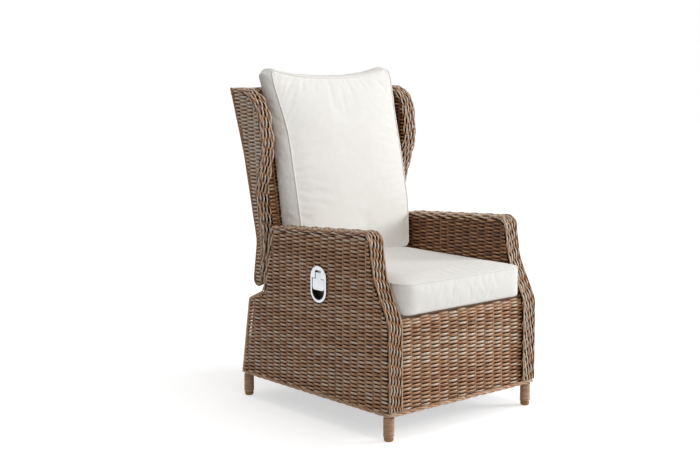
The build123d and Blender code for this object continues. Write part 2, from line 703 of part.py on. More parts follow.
top_tube_line = inset(top_line, WEAVE + FIT + CROSS_TUBE / 2)
back_top_tube = frame_tube(meet(back_middle[2], back_middle[3], *top_tube_line))
with BuildPart() as back_mid_tubes:
    low_run, high_run = back_middle[1:3], back_middle[2:4]
    add(frame_tube(at_height(*low_run, MID_TUBE_HEIGHTS[0])).part)
    add(frame_tube(at_height(*high_run, MID_TUBE_HEIGHTS[1])).part)

wing_inset = WEAVE + 2 * FIT + WING_TUBE / 2
wing_path_points = inset(cheek, wing_inset)
wing_radii = inset_radii(cheek, cheek_radii, wing_inset)
wing_start = meet(*wing_path_points[3:5], *back_middle[2:4])
wing_end = meet(*wing_path_points[5:7], *back_middle[1:3])
with BuildLine(cheek_plane.offset(-stile_depth)) as wing_path:
    FilletPolyline(*on_cheek([wing_start, *wing_path_points[4:6], wing_end]), radius=wing_radii[3:5])
right_wing_tube = tube(wing_path.line, WING_TUBE, TUBE_WALL)
with BuildPart() as right_wing_frame:
    add(right_wing_tube.part)
    add(stile_bar.part, mode=Mode.SUBTRACT)
with BuildPart() as wing_frames:
    add(right_wing_frame.part)
    mirror(right_wing_frame.part, about=Plane.YZ)

# Hinge: lugs bolted to the rear seat rail, with a bush each for the bottom tube of the back
bush_outer = BACK_TUBE / 2 + RUN + BUSH_WALL
with BuildPart() as hinge_lugs:
    for x in (-LUG_X, LUG_X):
        with BuildSketch(Plane.YZ.offset(x - LUG / 2)):
            with Locations(PIVOT):
                Circle(LUG_RING)
            with Locations((rear_rail_face + LUG_FOOT_THICK / 2, seat_rail_z)):
                Rectangle(LUG_FOOT_THICK, SEAT_RAIL)
            make_hull()
            with Locations(PIVOT):
                Circle(bush_outer, mode=Mode.SUBTRACT)
        extrude(amount=LUG)
        with Locations((x, rear_rail_face + LUG_FOOT_THICK / 2, seat_rail_z)):
            Box(LUG_FOOT, LUG_FOOT_THICK, SEAT_RAIL)
    bolt_spots = [
        (x + offset_x, rear_rail_face + LUG_FOOT_THICK, seat_rail_z)
        for x in (-LUG_X, LUG_X)
        for offset_x in (-BOLT_SPREAD / 2, BOLT_SPREAD / 2)
    ]
    with Locations(*bolt_spots):
        Cylinder(BOLT / 2 + RUN, 4 * LUG_FOOT_THICK, rotation=(90, 0, 0), mode=Mode.SUBTRACT)
with BuildPart() as hinge_bushes:
    for x in (-LUG_X, LUG_X):
        with BuildSketch(Plane.YZ.offset(x - LUG / 2)):
            with Locations(PIVOT):
                Circle(bush_outer)
                Circle(BACK_TUBE / 2 + RUN, mode=Mode.SUBTRACT)
        extrude(amount=LUG)
with BuildPart() as hinge_bolts:
    with Locations(*bolt_spots):
        Cylinder(
            BOLT_HEAD / 2, BOLT_HEAD_HIGH, rotation=(-90, 0, 0), align=(Align.CENTER, Align.CENTER, Align.MIN)
        )
        Cylinder(
            BOLT / 2, LUG_FOOT_THICK, rotation=(90, 0, 0), align=(Align.CENTER, Align.CENTER, Align.MIN)
        )

# Crank on the bottom tube of the back
crank_angle = radians(CRANK_LEAN)
crank_tip = (PIVOT[0] + CRANK_LENGTH * sin(crank_angle), PIVOT[1] - CRANK_LENGTH * cos(crank_angle))
with BuildPart() as crank:
    for x in (-CRANK_GAP / 2 - CRANK_PLATE, CRANK_GAP / 2):
        with BuildSketch(Plane.YZ.offset(x)):
            with Locations(PIVOT):
                Circle(CRANK_BOSS / 2)
            with Locations(crank_tip):
                Circle(CRANK_EYE / 2)
            make_hull()
            with Locations(PIVOT):
                Circle(BACK_TUBE / 2, mode=Mode.SUBTRACT)
            with Locations(crank_tip):
                Circle(CRANK_HOLE / 2, mode=Mode.SUBTRACT)
        extrude(amount=CRANK_PLATE)

# Lockable gas spring: the rod and release head swing on the bracket, the cylinder slides on the rod
pin_point = (crank_tip[0] + PIN_DROP[0], crank_tip[1] + PIN_DROP[1])
gas_length = hypot(pin_point[0] - GAS_HEAD[0], pin_point[1] - GAS_HEAD[1])
gas_along = (0, (pin_point[0] - GAS_HEAD[0]) / gas_length, (pin_point[1] - GAS_HEAD[1]) / gas_length)
gas_plane = Plane(origin=(0, *GAS_HEAD), x_dir=(1, 0, 0), z_dir=gas_along)
cylinder_end = gas_length - EYE_NECK
cylinder_start = cylinder_end - GAS_CYLINDER_LENGTH
rod_start = HEAD_LENGTH - HEAD_HEIGHT / 2
with BuildPart() as gas_rod:
    with BuildSketch(gas_plane.offset(rod_start)):
        Circle(GAS_ROD / 2)
    extrude(amount=GAS_ROD_LENGTH)
with BuildPart() as gas_cylinder:
    with BuildSketch(gas_plane.offset(cylinder_start)):
        Circle(GAS_CYLINDER / 2)
    extrude(amount=GAS_CYLINDER_LENGTH)
    fillet(edges().filter_by(GeomType.CIRCLE), CYLINDER_ROUND)
    with BuildSketch(gas_plane.offset(cylinder_start)):
        Circle(GAS_ROD / 2 + RUN)
    extrude(amount=GAS_BORE_DEPTH, mode=Mode.SUBTRACT)
    with BuildSketch(gas_plane.offset(cylinder_end)):
        Circle(GAS_ROD / 2)
    extrude(amount=EYE_NECK)
    with BuildSketch(Plane.YZ.offset(-EYE_WIDTH / 2)):
        with Locations(pin_point):
            Circle(EYE_RING / 2)
    extrude(amount=EYE_WIDTH)
    with BuildSketch(Plane.YZ.offset(-EYE_WIDTH)):
        with Locations(pin_point):
            Circle(CRANK_PIN / 2)
    extrude(amount=2 * EYE_WIDTH, mode=Mode.SUBTRACT)
pin_half = CRANK_GAP / 2 + CRANK_PLATE + FIT
with BuildPart() as crank_pin:
    add(cross_tube(pin_point, pin_half, CRANK_PIN).part)
    for x in (-pin_half - PIN_HEAD_THICK, pin_half):
        with BuildSketch(Plane.YZ.offset(x)):
            with Locations(pin_point):
                Circle(PIN_HEAD / 2)
        extrude(amount=PIN_HEAD_THICK)

lever_gap = 2 * RUN
with BuildPart() as release_head:
    with BuildSketch(gas_plane.offset(-HEAD_HEIGHT / 2)):
        Rectangle(HEAD_WIDTH, HEAD_HEIGHT)
    extrude(amount=HEAD_LENGTH)
    fillet(edges().filter_by(Axis.X), HEAD_ROUND)
    with BuildSketch(gas_plane.offset(-HEAD_HEIGHT / 2)):
        Circle(LEVER_STUD / 2)
    extrude(amount=-LEVER - 2 * lever_gap)
    with BuildSketch(gas_plane.offset(-HEAD_HEIGHT / 2 - LEVER - 2 * lever_gap)):
        Circle(LEVER_EYE / 2)
    extrude(amount=-HEAD_WASHER)
    with BuildSketch(Plane.YZ.offset(-HEAD_WIDTH)):
        with Locations(GAS_HEAD):
            Circle(HEAD_PIN / 2 + RUN)
    extrude(amount=2 * HEAD_WIDTH, mode=Mode.SUBTRACT)
lever_plane = gas_plane.offset(-HEAD_HEIGHT / 2 - lever_gap)
with BuildPart() as release_lever:
    with BuildSketch(lever_plane):
        Circle(LEVER_EYE / 2)
        with Locations((0, LEVER_LENGTH)):
            Circle(LEVER_TIP / 2)
        make_hull()
        Circle(LEVER_STUD / 2 + RUN, mode=Mode.SUBTRACT)
        with Locations((0, LEVER_LENGTH)):
            Circle(LEVER_HOLE / 2, mode=Mode.SUBTRACT)
    extrude(amount=-LEVER)

mid_rail_face = MID_RAIL_Y + BASE_RAIL / 2
mid_rail_under = SEAT_RAIL_UNDER - BASE_RAIL
bracket_inner = HEAD_WIDTH / 2 + BRACKET_GAP
with BuildPart() as gas_bracket:
    for x in (-bracket_inner - BRACKET_PLATE, bracket_inner):
        with BuildSketch(Plane.YZ.offset(x)):
            with Locations(GAS_HEAD):
                Circle(BRACKET_EYE / 2)
            with Locations((mid_rail_face + BRACKET_PLATE / 2, SEAT_RAIL_UNDER - BASE_RAIL / 2)):
                Rectangle(BRACKET_PLATE, BASE_RAIL)
            make_hull()
            with Locations(GAS_HEAD):
                Circle(HEAD_PIN / 2, mode=Mode.SUBTRACT)
        extrude(amount=BRACKET_PLATE)
head_pin_half = bracket_inner + BRACKET_PLATE
with BuildPart() as head_pin:
    add(cross_tube(GAS_HEAD, head_pin_half, HEAD_PIN).part)
    for x in (-head_pin_half - PIN_HEAD_THICK, head_pin_half):
        with BuildSketch(Plane.YZ.offset(x)):
            with Locations(GAS_HEAD):
                Circle(HEAD_PIN_RIM / 2)
        extrude(amount=PIN_HEAD_THICK)

# Release handle: bezel, cup and backplate in the left side, with the paddle on its pin
stem_slot = STEM_WIDTH + 2 * STEM_GAP
with BuildSketch() as finger_shape:
    recess_round = RECESS_WIDTH / 2
    with Locations((0, RECESS_LOW + recess_round)):
        Circle(recess_round)
        Rectangle(RECESS_WIDTH, RECESS_TOP - RECESS_LOW - recess_round, align=(Align.CENTER, Align.MIN))
with BuildSketch() as stem_shape:
    with Locations((0, PADDLE_SHOULDER)):
        Rectangle(stem_slot, SLOT_TOP - PADDLE_SHOULDER, align=(Align.CENTER, Align.MIN))

with BuildPart() as handle_bezel:
    with BuildSketch(handle_plane):
        SlotOverall(BEZEL_HEIGHT, BEZEL_WIDTH, rotation=90)
    extrude(amount=BEZEL)
    fillet(faces().sort_by(Axis.X)[0].edges(), BEZEL / 2)
    with BuildSketch(handle_plane):
        add(finger_shape.sketch)
        add(stem_shape.sketch)
    extrude(amount=BEZEL, mode=Mode.SUBTRACT)

pin_x = -HALF + PADDLE_PIN_IN
pin_z = HANDLE_Z + PADDLE_PIN_UP


def across(x, z, y_from, y_to, diameter, mode=Mode.ADD):
    """A cylinder along Y, added to the piece being built."""
    with BuildSketch(Plane.XZ.offset(-y_from)) as disc:
        with Locations((x, z)):
            Circle(diameter / 2)
    extrude(disc.sketch, amount=y_from - y_to, mode=mode)


with BuildPart() as handle_cup:
    with BuildSketch(handle_plane):
        SlotOverall(cup_height, cup_width, rotation=90)
    extrude(amount=-CUP_DEPTH)
    with BuildSketch(handle_plane):
        add(finger_shape.sketch)
    extrude(amount=-RECESS_DEPTH, mode=Mode.SUBTRACT)
    with BuildSketch(handle_plane):
        add(stem_shape.sketch)
    extrude(amount=-POCKET_DEPTH, mode=Mode.SUBTRACT)
    pin_from = HANDLE_Y - PADDLE_PIN_LENGTH / 2
    pin_to = HANDLE_Y + PADDLE_PIN_LENGTH / 2
    across(pin_x, pin_z, pin_from, pin_to, PADDLE_PIN, Mode.SUBTRACT)

with BuildPart() as handle_backplate:
    with BuildSketch(handle_plane.offset(-WEAVE)):
        SlotOverall(cup_height + 2 * BACKPLATE_RIM, cup_width + 2 * BACKPLATE_RIM, rotation=90)
        SlotOverall(cup_height + 2 * FIT, cup_width + 2 * FIT, rotation=90, mode=Mode.SUBTRACT)
    extrude(amount=-BACKPLATE)

with BuildPart() as paddle_pin:
    across(pin_x, pin_z, pin_from, pin_to, PADDLE_PIN)

barrel_end = HANDLE_Y - STEM_WIDTH / 2 + BARREL_WIDTH
with BuildPart() as paddle_spring:
    spring_from = barrel_end + FIT
    across(pin_x, pin_z, spring_from, spring_from + SPRING_LENGTH, SPRING_COIL)
    across(pin_x, pin_z, spring_from, spring_from + SPRING_LENGTH, PADDLE_PIN, Mode.SUBTRACT)

with BuildPart() as release_paddle:
    with BuildSketch(handle_plane.offset(PADDLE_PROUD)) as paddle_face:
        with Locations((0, PADDLE_SHOULDER)):
            Rectangle(STEM_WIDTH, PADDLE_PIN_UP - PADDLE_SHOULDER, align=(Align.CENTER, Align.MIN))
            Rectangle(PADDLE_WIDTH, PADDLE_SHOULDER - PADDLE_LOW, align=(Align.CENTER, Align.MAX))
        fillet(paddle_face.vertices().group_by(Axis.Y)[0], PADDLE_CORNER)
    extrude(amount=-PADDLE)
    with Locations((pin_x, (HANDLE_Y - STEM_WIDTH / 2 + barrel_end) / 2, pin_z)):
        Box(
            PADDLE_PIN_IN + PADDLE_PROUD - PADDLE,
            BARREL_WIDTH,
            BARREL / 2,
            align=(Align.MAX, Align.CENTER, Align.MAX),
        )
    across(pin_x, pin_z, HANDLE_Y - STEM_WIDTH / 2, barrel_end, BARREL)
    across(pin_x, pin_z, HANDLE_Y - STEM_WIDTH, HANDLE_Y + STEM_WIDTH, PADDLE_PIN + 2 * RUN, Mode.SUBTRACT)

# Release cable from the cup to the anchor beside the lever
cable_top = HANDLE_Z - cup_height / 2
cable_low = GAS_HEAD[1] - LEVER_LENGTH
with BuildLine(Plane.XZ.offset(-HANDLE_Y)) as cable_path:
    FilletPolyline((CABLE_X, cable_top), (CABLE_X, cable_low), (ANCHOR_X, cable_low), radius=CABLE_BEND)
release_cable = tube(cable_path.line, CABLE)
with BuildPart() as cable_anchor:
    anchor_front = MID_RAIL_Y - BASE_RAIL / 2
    anchor_foot = cable_low - CABLE / 2 - ANCHOR_BELOW
    with Locations((ANCHOR_X, anchor_front, anchor_foot)):
        Box(ANCHOR, ANCHOR_WIDTH, mid_rail_under - anchor_foot, align=(Align.MIN, Align.MIN, Align.MIN))


def pillow_section(x, corners, bulges):
    """One side section of a cushion: a flat side, then three bulged ones."""
    middles = []
    for (a, b), (push_y, push_z) in zip(zip(corners[1:], corners[2:] + corners[:1]), bulges):
        middles.append(((a[0] + b[0]) / 2 + push_y, (a[1] + b[1]) / 2 + push_z))
    with BuildSketch(Plane.YZ.offset(x)) as section:
        with BuildLine():
            Line(corners[0], corners[1])
            ThreePointArc(corners[1], middles[0], corners[2])
            ThreePointArc(corners[2], middles[1], corners[3])
            ThreePointArc(corners[3], middles[2], corners[0])
        make_face()
    return section.sketch


def pillow(stations):
    """A cushion lofted across the chair through its side sections."""
    with BuildPart() as cushion:
        loft([pillow_section(*station) for station in stations])
    return cushion


def both_ways(station):
    """The cushion's sections from the left end to the right end, from those of its right half."""
    return [(-x, *rest) for x, *rest in reversed(station[1:])] + list(station)


# Seat cushion: flat below, crowned on top, with its ends drawn in
seat_under = DECK_TOP + FIT


def seat_station(x, tuck):
    front, rear, top = SEAT_FRONT_Y + tuck, SEAT_REAR_Y - tuck, SEAT_EDGE_Z - tuck
    corners = [(rear, seat_under), (front, seat_under), (front, top), (rear, top)]
    return (x, corners, [(-SEAT_BULGE, 0), (0, SEAT_CROWN + tuck / 3), (SEAT_BULGE, 0)])


seat_cushion = pillow(
    both_ways(
        [seat_station(0, 0)]
        + [seat_station(SEAT_HALF * out, SEAT_TUCK * drawn) for out, drawn in SEAT_STATIONS]
    )
)

# Back cushion: flat against the back, full in front, with raised corners at its top
cushion_rear = inset(front_path[1:3], FIT)


def back_station(x, tuck, foot, top):
    rear_low, rear_high = at_height(*cushion_rear, foot), at_height(*cushion_rear, top)
    front_line = (
        (BACK_CUSHION_FRONT[0], BACK_CUSHION_FOOT),
        (BACK_CUSHION_FRONT[1], BACK_CUSHION_EAR),
    )
    front_low, front_high = at_height(*front_line, foot), at_height(*front_line, top)
    corners = [
        (rear_high[0] - tuck / 3, top),
        (rear_low[0] - tuck / 3, foot),
        (front_low[0] + tuck, foot),
        (front_high[0] + tuck, top),
    ]
    bulges = [(0, -CUSHION_ROUND / 4), (-BACK_CUSHION_BULGE, BACK_CUSHION_BULGE / 4), (0, CUSHION_ROUND)]
    return (x, corners, bulges)


edge_top = (BACK_CUSHION_TOP + BACK_CUSHION_EAR) / 2 - EDGE_DIP
end_foot = BACK_CUSHION_FOOT + END_LIFT
back_cushion = pillow(
    both_ways(
        [
            back_station(0, 0, BACK_CUSHION_FOOT, BACK_CUSHION_TOP),
            back_station(EAR_X / 2, EDGE_TUCK, BACK_CUSHION_FOOT, edge_top),
            back_station(EAR_X, EAR_TUCK, BACK_CUSHION_FOOT + EAR_LIFT, BACK_CUSHION_EAR),
            back_station(BACK_CUSHION_HALF, BACK_CUSHION_TUCK, end_foot, BACK_CUSHION_EAR - END_DROP),
        ]
    )
)

# Every piece, written as one file each
pieces = {
    "left_arm_hoop": left_arm_hoop,
    "right_arm_hoop": right_arm_hoop,
    "bottom_side_rails": bottom_side_rails,
    "bottom_cross_rails": bottom_cross_rails,
    "front_seat_rail": front_seat_rail,
    "rear_seat_rail": rear_seat_rail,
    "seat_side_rails": seat_side_rails,
    "mid_rail": mid_rail,
    "rear_posts": rear_posts,
    "shelf_rail": shelf_rail,
    "seat_deck": seat_deck,
    "left_outer_panel": left_outer_panel,
    "right_outer_panel": right_outer_panel,
    "left_inner_panel": left_inner_panel,
    "right_inner_panel": right_inner_panel,
    "left_arm_band": left_arm_band,
    "right_arm_band": right_arm_band,
    "front_panel": front_panel,
    "rear_panel": rear_panel,
    "bottom_braid": bottom_braid,
    "legs": legs,
    "foot_glides": foot_glides,
    "hinge_lugs": hinge_lugs,
    "hinge_bushes": hinge_bushes,
    "hinge_bolts": hinge_bolts,
    "gas_bracket": gas_bracket,
    "head_pin": head_pin,
    "handle_bezel": handle_bezel,
    "handle_cup": handle_cup,
    "handle_backplate": handle_backplate,
    "paddle_pin": paddle_pin,
    "paddle_spring": paddle_spring,
    "release_cable": release_cable,
    "cable_anchor": cable_anchor,
    "seat_cushion": seat_cushion,
    "back_bottom_tube": back_bottom_tube,
    "back_stiles": back_stiles,
    "back_top_tube": back_top_tube,
    "back_mid_tubes": back_mid_tubes,
    "wing_frames": wing_frames,
    "back_rear_skin": back_rear_skin,
    "back_front_skin": back_front_skin,
    "left_cheek_skin": left_cheek_skin,
    "right_cheek_skin": right_cheek_skin,
    "left_wing_lining": left_wing_lining,
    "right_wing_lining": right_wing_lining,
    "left_wing_band": left_wing_band,
    "right_wing_band": right_wing_band,
    "back_top_band": back_top_band,
    "crank": crank,
    "back_cushion": back_cushion,
    "gas_rod": gas_rod,
    "release_head": release_head,
    "gas_cylinder": gas_cylinder,
    "crank_pin": crank_pin,
    "release_lever": release_lever,
    "release_paddle": release_paddle,
}
os.makedirs("parts", exist_ok=True)
for name, piece in pieces.items():
    piece.part.label = name
    export_step(piece.part, f"parts/{name}.step")
print("gas spring along", [round(value, 6) for value in gas_along], "length", round(gas_length, 3))
print("cable length", round(sum(edge.length for edge in cable_path.edges()), 1))
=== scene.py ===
from math import ceil, cos, floor, pi, radians, sin, tan
import bmesh
import bpy
import numpy as np
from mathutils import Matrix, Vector
from mathutils.bvhtree import BVHTree


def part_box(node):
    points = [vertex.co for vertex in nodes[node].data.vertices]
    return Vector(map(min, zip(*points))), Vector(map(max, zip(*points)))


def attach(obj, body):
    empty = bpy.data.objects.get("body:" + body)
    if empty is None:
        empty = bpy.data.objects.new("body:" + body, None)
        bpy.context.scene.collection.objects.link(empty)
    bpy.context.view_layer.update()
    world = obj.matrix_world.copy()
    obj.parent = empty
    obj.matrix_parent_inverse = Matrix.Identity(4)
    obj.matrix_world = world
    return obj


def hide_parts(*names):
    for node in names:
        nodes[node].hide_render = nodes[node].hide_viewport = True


# The looks of a woven lounge chair with a reclining back, in metres. The chair faces -Y, and outlines
# seen from the side are given as (y, z) points, from the rear foot over the top to the front foot.
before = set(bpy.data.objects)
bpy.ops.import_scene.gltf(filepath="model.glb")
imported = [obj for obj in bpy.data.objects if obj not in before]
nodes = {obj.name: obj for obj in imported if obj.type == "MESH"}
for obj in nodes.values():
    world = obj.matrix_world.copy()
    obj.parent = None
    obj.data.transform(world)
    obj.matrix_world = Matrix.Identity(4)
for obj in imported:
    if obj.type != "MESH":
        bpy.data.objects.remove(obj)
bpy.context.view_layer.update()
bpy.ops.object.select_all(action="DESELECT")


# Tube frame: aluminium tube and box rail, bent, welded and powder coated dark brown.
# It stands under the weave and shows from below and through the slots behind the seat.
class Shade:
    """A value that varies over a surface. Sums and products of numbers add their Math nodes."""

    def __init__(self, finish, socket):
        self.finish = finish
        self.socket = socket

    def math(self, operation, first, second):
        return self.finish.node("Math", {"operation": operation}, {0: first, 1: second})

    def __add__(self, other):
        return self.math("ADD", self, other)

    def __sub__(self, other):
        return self.math("SUBTRACT", self, other)

    def __mul__(self, other):
        return self.math("MULTIPLY", self, other)

    __radd__ = __add__


class Finish:
    """A material, with its shader's plain values and one way to add a node."""

    def __init__(self, name, values):
        self.material = bpy.data.materials.new(name)
        self.material.use_nodes = True
        self.tree = self.material.node_tree
        self.shader = self.tree.nodes["Principled BSDF"]
        for socket, value in values.items():
            self.shader.inputs[socket].default_value = value

    def feed(self, socket, value):
        if isinstance(value, Shade):
            self.tree.links.new(value.socket, socket)
        else:
            socket.default_value = value

    def node(self, kind, settings, sockets, output=0):
        made = self.tree.nodes.new("ShaderNode" + kind)
        for name, value in settings.items():
            if name == "stops":
                stops = made.color_ramp.elements
                while len(stops) < len(value):
                    stops.new(1.0)
                for stop, (position, colour) in zip(stops, value):
                    stop.position = position
                    stop.color = (*colour, 1.0)
            else:
                setattr(made, name, value)
        for name, value in sockets.items():
            self.feed(made.inputs[name], value)
        return Shade(self, made.outputs[output])

    def vary(self, **shades):
        for name, shade in shades.items():
            self.feed(self.shader.inputs[name.replace("_", " ")], shade)

    def place(self, scale, kind="Object"):
        """Coordinates on the piece, stretched by a scale for each direction."""
        where = self.node("TexCoord", {}, {}, kind)
        return self.node("Mapping", {}, {"Vector": where, "Scale": scale})

    def noise(self, where, scale, detail=2.0, roughness=0.5):
        sockets = {"Vector": where, "Scale": scale, "Detail": detail, "Roughness": roughness}
        return self.node("TexNoise", {}, sockets, "Fac")

    def ramp(self, shade, *stops):
        return self.node("ValToRGB", {"stops": stops}, {"Fac": shade}, "Color")

    def mix(self, share, first, second, blend="MIX"):
        settings = {"data_type": "RGBA", "blend_type": blend}
        return self.node("Mix", settings, {0: share, 6: first, 7: second}, 2)

    def bump(self, height, distance, strength=1.0):
        return self.node("Bump", {}, {"Height": height, "Distance": distance, "Strength": strength})

    def mottle(self, noise, dark, pale, rough=None, relief=None):
        """Colour, roughness and relief that all follow one noise."""
        self.vary(Base_Color=self.ramp(noise, (0.3, dark), (0.7, pale)))
        if rough:
            self.vary(Roughness=rough[0] + noise * rough[1])
        if relief:
            self.vary(Normal=self.bump(noise, *relief))


def dress(finish, *names):
    """Gives carried-over pieces of the frame their finish."""
    for name in names:
        nodes[name].material_slots[0].material = finish.material


powder_coat = Finish("powder_coat", {"Roughness": 0.5})
orange_peel = powder_coat.noise(powder_coat.place((1, 1, 1)), 900.0, 1.0)
coat_patches = powder_coat.noise(powder_coat.place((1, 1, 1)), 9.0, 3.0)
powder_coat.vary(
    Base_Color=powder_coat.ramp(coat_patches, (0.35, (0.030, 0.021, 0.015)), (0.7, (0.050, 0.036, 0.027))),
    Roughness=0.42 + coat_patches * 0.2,
    Normal=powder_coat.bump(orange_peel, 0.0002, 0.4),
)
dress(
    powder_coat,
    "left_arm_hoop", "right_arm_hoop", "bottom_side_rails", "bottom_cross_rails",
    "front_seat_rail", "rear_seat_rail", "seat_side_rails", "mid_rail", "rear_posts", "shelf_rail",
    "back_bottom_tube", "back_stiles", "back_top_tube", "back_mid_tubes", "wing_frames",
    "hinge_lugs", "gas_bracket", "cable_anchor", "crank",
)

# Seat deck: a board of plywood, screwed down on the seat rails under the cushion.
# It is stained dark, with its grain across the chair.
stained_board = Finish("stained_board", {"Roughness": 0.6})
grain = stained_board.noise(stained_board.place((6, 90, 90)), 1.0, 4.0, 0.6)
stained_board.mottle(grain, (0.075, 0.045, 0.025), (0.16, 0.10, 0.06), rough=(0.5, 0.2), relief=(0.0004, 0.5))
dress(stained_board, "seat_deck")

# Hinge and release gear: turned steel pins and bolts, a black gas spring with a bright rod, nylon
# bushes and a plastic-sheathed cable, all bolted to the rails under the seat.
bright_steel = Finish("bright_steel", {"Base Color": (0.62, 0.61, 0.59, 1), "Metallic": 1.0})
turning_marks = bright_steel.noise(bright_steel.place((900, 60, 60)), 1.0, 2.0)
bright_steel.vary(
    Roughness=0.2 + turning_marks * 0.18,
    Normal=bright_steel.bump(turning_marks, 0.00005, 0.3),
)
dress(
    bright_steel,
    "gas_rod", "crank_pin", "head_pin", "hinge_bolts", "paddle_pin", "paddle_spring", "release_lever",
)
black_plastic = Finish("black_plastic", {"Roughness": 0.45})
spark_texture = black_plastic.noise(black_plastic.place((1, 1, 1)), 1400.0, 2.0)
black_plastic.mottle(
    spark_texture, (0.010, 0.010, 0.010), (0.018, 0.017, 0.016), rough=(0.34, 0.2), relief=(0.0001, 0.5),
)
dress(black_plastic, "gas_cylinder", "release_head", "release_cable", "handle_backplate")
pale_nylon = Finish("pale_nylon", {"Subsurface Weight": 0.2, "Subsurface Radius": (0.002, 0.002, 0.002)})
nylon_cloud = pale_nylon.noise(pale_nylon.place((1, 1, 1)), 120.0, 2.0)
pale_nylon.mottle(nylon_cloud, (0.62, 0.60, 0.54), (0.72, 0.70, 0.64), rough=(0.4, 0.2))
dress(pale_nylon, "hinge_bushes")

# Woven sides of the base: round resin strands woven in level rows, over and under upright stakes
# that are fixed round the tube frame. Every other row passes on the other side of a stake.
ROW = 0.00617
STRAND_WIDTH = 0.0033  # half of a strand's height on the face
STRAND_DEPTH = 0.0027
SWING = 0.0043  # how far a strand swings in and out round the stakes
SIDE_STAKES = 0.0353
STAKE_WIDTH = 0.0027
STAKE_DEPTH = 0.0022
STAKE_OUT = 0.0012  # stakes show a little in front of the weave's middle
STAKE_TINT = -0.25
CREST_PAINTED_LIGHT = 0.42  # painted light: a strand is paler where it stands out and darker where it dips
CREST_WIDTH = 0.22  # a strand is flattened wider where it stands out
STEPS = 7  # rings of a strand from stake to stake
SIDES = 6
SKIN_MIDDLE = SWING + STRAND_DEPTH  # face of a skin to the middle of its weave
SHORTEST = 0.012
FOOT_ROWS = 0.008  # the lowest rows go down behind the braid

base_low, base_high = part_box("left_arm_band")
HALF = -base_low.x
ARM_INNER = -base_high.x
SKIN_FOOT = base_low.z

resin_strand = Finish("resin_strand", {"Specular IOR Level": 0.7})
strand_run = resin_strand.place((20.0, 1.9, 1.0), "UV")
fibre_run = resin_strand.place((70.0, 9.0, 1.0), "UV")
patches = resin_strand.noise(strand_run, 1.0, 3.0, 0.6)
fibres = resin_strand.noise(fibre_run, 1.0, 3.0, 0.65)
# The tint attribute holds each strand's own tone, with painted light on its crests and painted shade in its
# dips; stakes are darker
tint = resin_strand.node("Attribute", {"attribute_name": "tint"}, {}, "Fac")
tone = tint * 0.45 + patches * 1.1 - 0.33
strand_colour = resin_strand.ramp(
    tone,
    (0.10, (0.15, 0.055, 0.018)),
    (0.32, (0.33, 0.132, 0.045)),
    (0.52, (0.47, 0.237, 0.098)),
    (0.68, (0.56, 0.355, 0.218)),
    (0.88, (0.66, 0.545, 0.430)),
)
fibre_shade = resin_strand.ramp(fibres, (0.25, (0.66, 0.66, 0.66)), (0.75, (1.12, 1.12, 1.12)))
resin_strand.vary(
    Base_Color=resin_strand.mix(1.0, strand_colour, fibre_shade, "MULTIPLY"),
    Roughness=0.27 + fibres * 0.2,
    Normal=resin_strand.bump(fibres, 0.0005, 0.55),
)

BOTH = (("left", -1), ("right", 1))


def unit(vectors):
    return vectors / np.linalg.norm(vectors, axis=-1, keepdims=True)


def travel_of(line):
    """The direction along a line of points, at each of them."""
    return unit(np.gradient(line, axis=0))


def length_of(line):
    """The distance along a line of points, at each of them."""
    return np.concatenate([[0], np.cumsum(np.linalg.norm(np.diff(line, axis=0), axis=1))])


def joined(x, y, z):
    """Points from their coordinates, of which some may be one for all."""
    return np.stack(np.broadcast_arrays(x, y, z), -1)


def stations(start, end, step):
    """Places from start to end, at whole steps between them."""
    inner = np.arange(ceil(start / step + 0.3), floor(end / step - 0.3) + 1) * step
    return np.concatenate([[start], inner, [end]])


class Outline:
    """A side outline of straight runs joined by round corners, read by the distance along it."""

    def __init__(self, corners, rounds):
        points = [np.array(corners[0])]
        for before, corner, after, radius in zip(corners, corners[1:], corners[2:], rounds):
            if radius == 0:
                points.append(np.array(corner))
                continue
            into = unit(np.subtract(before, corner))
            out = unit(np.subtract(after, corner))
            half = np.arccos(into @ out) / 2
            centre = corner + unit(into + out) * radius / np.sin(half)
            start = corner + into * radius / np.tan(half) - centre
            end = corner + out * radius / np.tan(half) - centre
            first = np.arctan2(start[1], start[0])
            turn = (np.arctan2(end[1], end[0]) - first + pi) % (2 * pi) - pi
            for angle in first + turn * np.linspace(0, 1, 17):
                points.append(centre + radius * np.array([cos(angle), sin(angle)]))
        points.append(np.array(corners[-1]))
        points = np.array(points)
        lengths = length_of(points)
        self.length = lengths[-1]
        self.along = np.linspace(0, self.length, ceil(self.length / 0.002) + 1)
        self.line = np.stack([np.interp(self.along, lengths, points[:, k]) for k in (0, 1)], 1)
        travel = travel_of(self.line)
        self.outward = np.stack([travel[:, 1], -travel[:, 0]], 1)

    def at(self, along, depth):
        """Points at a depth under the outline, and the outward directions there."""
        line = [np.interp(along, self.along, self.line[:, k]) for k in (0, 1)]
        outward = unit(np.stack([np.interp(along, self.along, self.outward[:, k]) for k in (0, 1)], -1))
        return np.stack(line, -1) - depth * outward, outward

    def nearest(self, point):
        """The distance along the outline to the point of it that is nearest."""
        return self.along[np.argmin(np.linalg.norm(self.line - np.array(point), axis=1))]


def spans(edges, level, axis):
    """The stretches of a level line that lie inside closed outlines, holes included."""
    crossings = []
    for edge in edges:
        after = np.roll(edge, -1, axis=0)
        hit = (edge[:, axis] <= level) != (after[:, axis] <= level)
        share = (level - edge[hit, axis]) / (after[hit, axis] - edge[hit, axis])
        crossings.append(edge[hit, 1 - axis] + share * (after[hit, 1 - axis] - edge[hit, 1 - axis]))
    crossings = np.sort(np.concatenate(crossings))
    return [(a, b) for a, b in zip(crossings[::2], crossings[1::2]) if b - a > SHORTEST]


def added(name, data):
    """A new object in the scene, made the active one."""
    piece = bpy.data.objects.new(name, data)
    bpy.context.collection.objects.link(piece)
    bpy.context.view_layer.objects.active = piece
    return piece


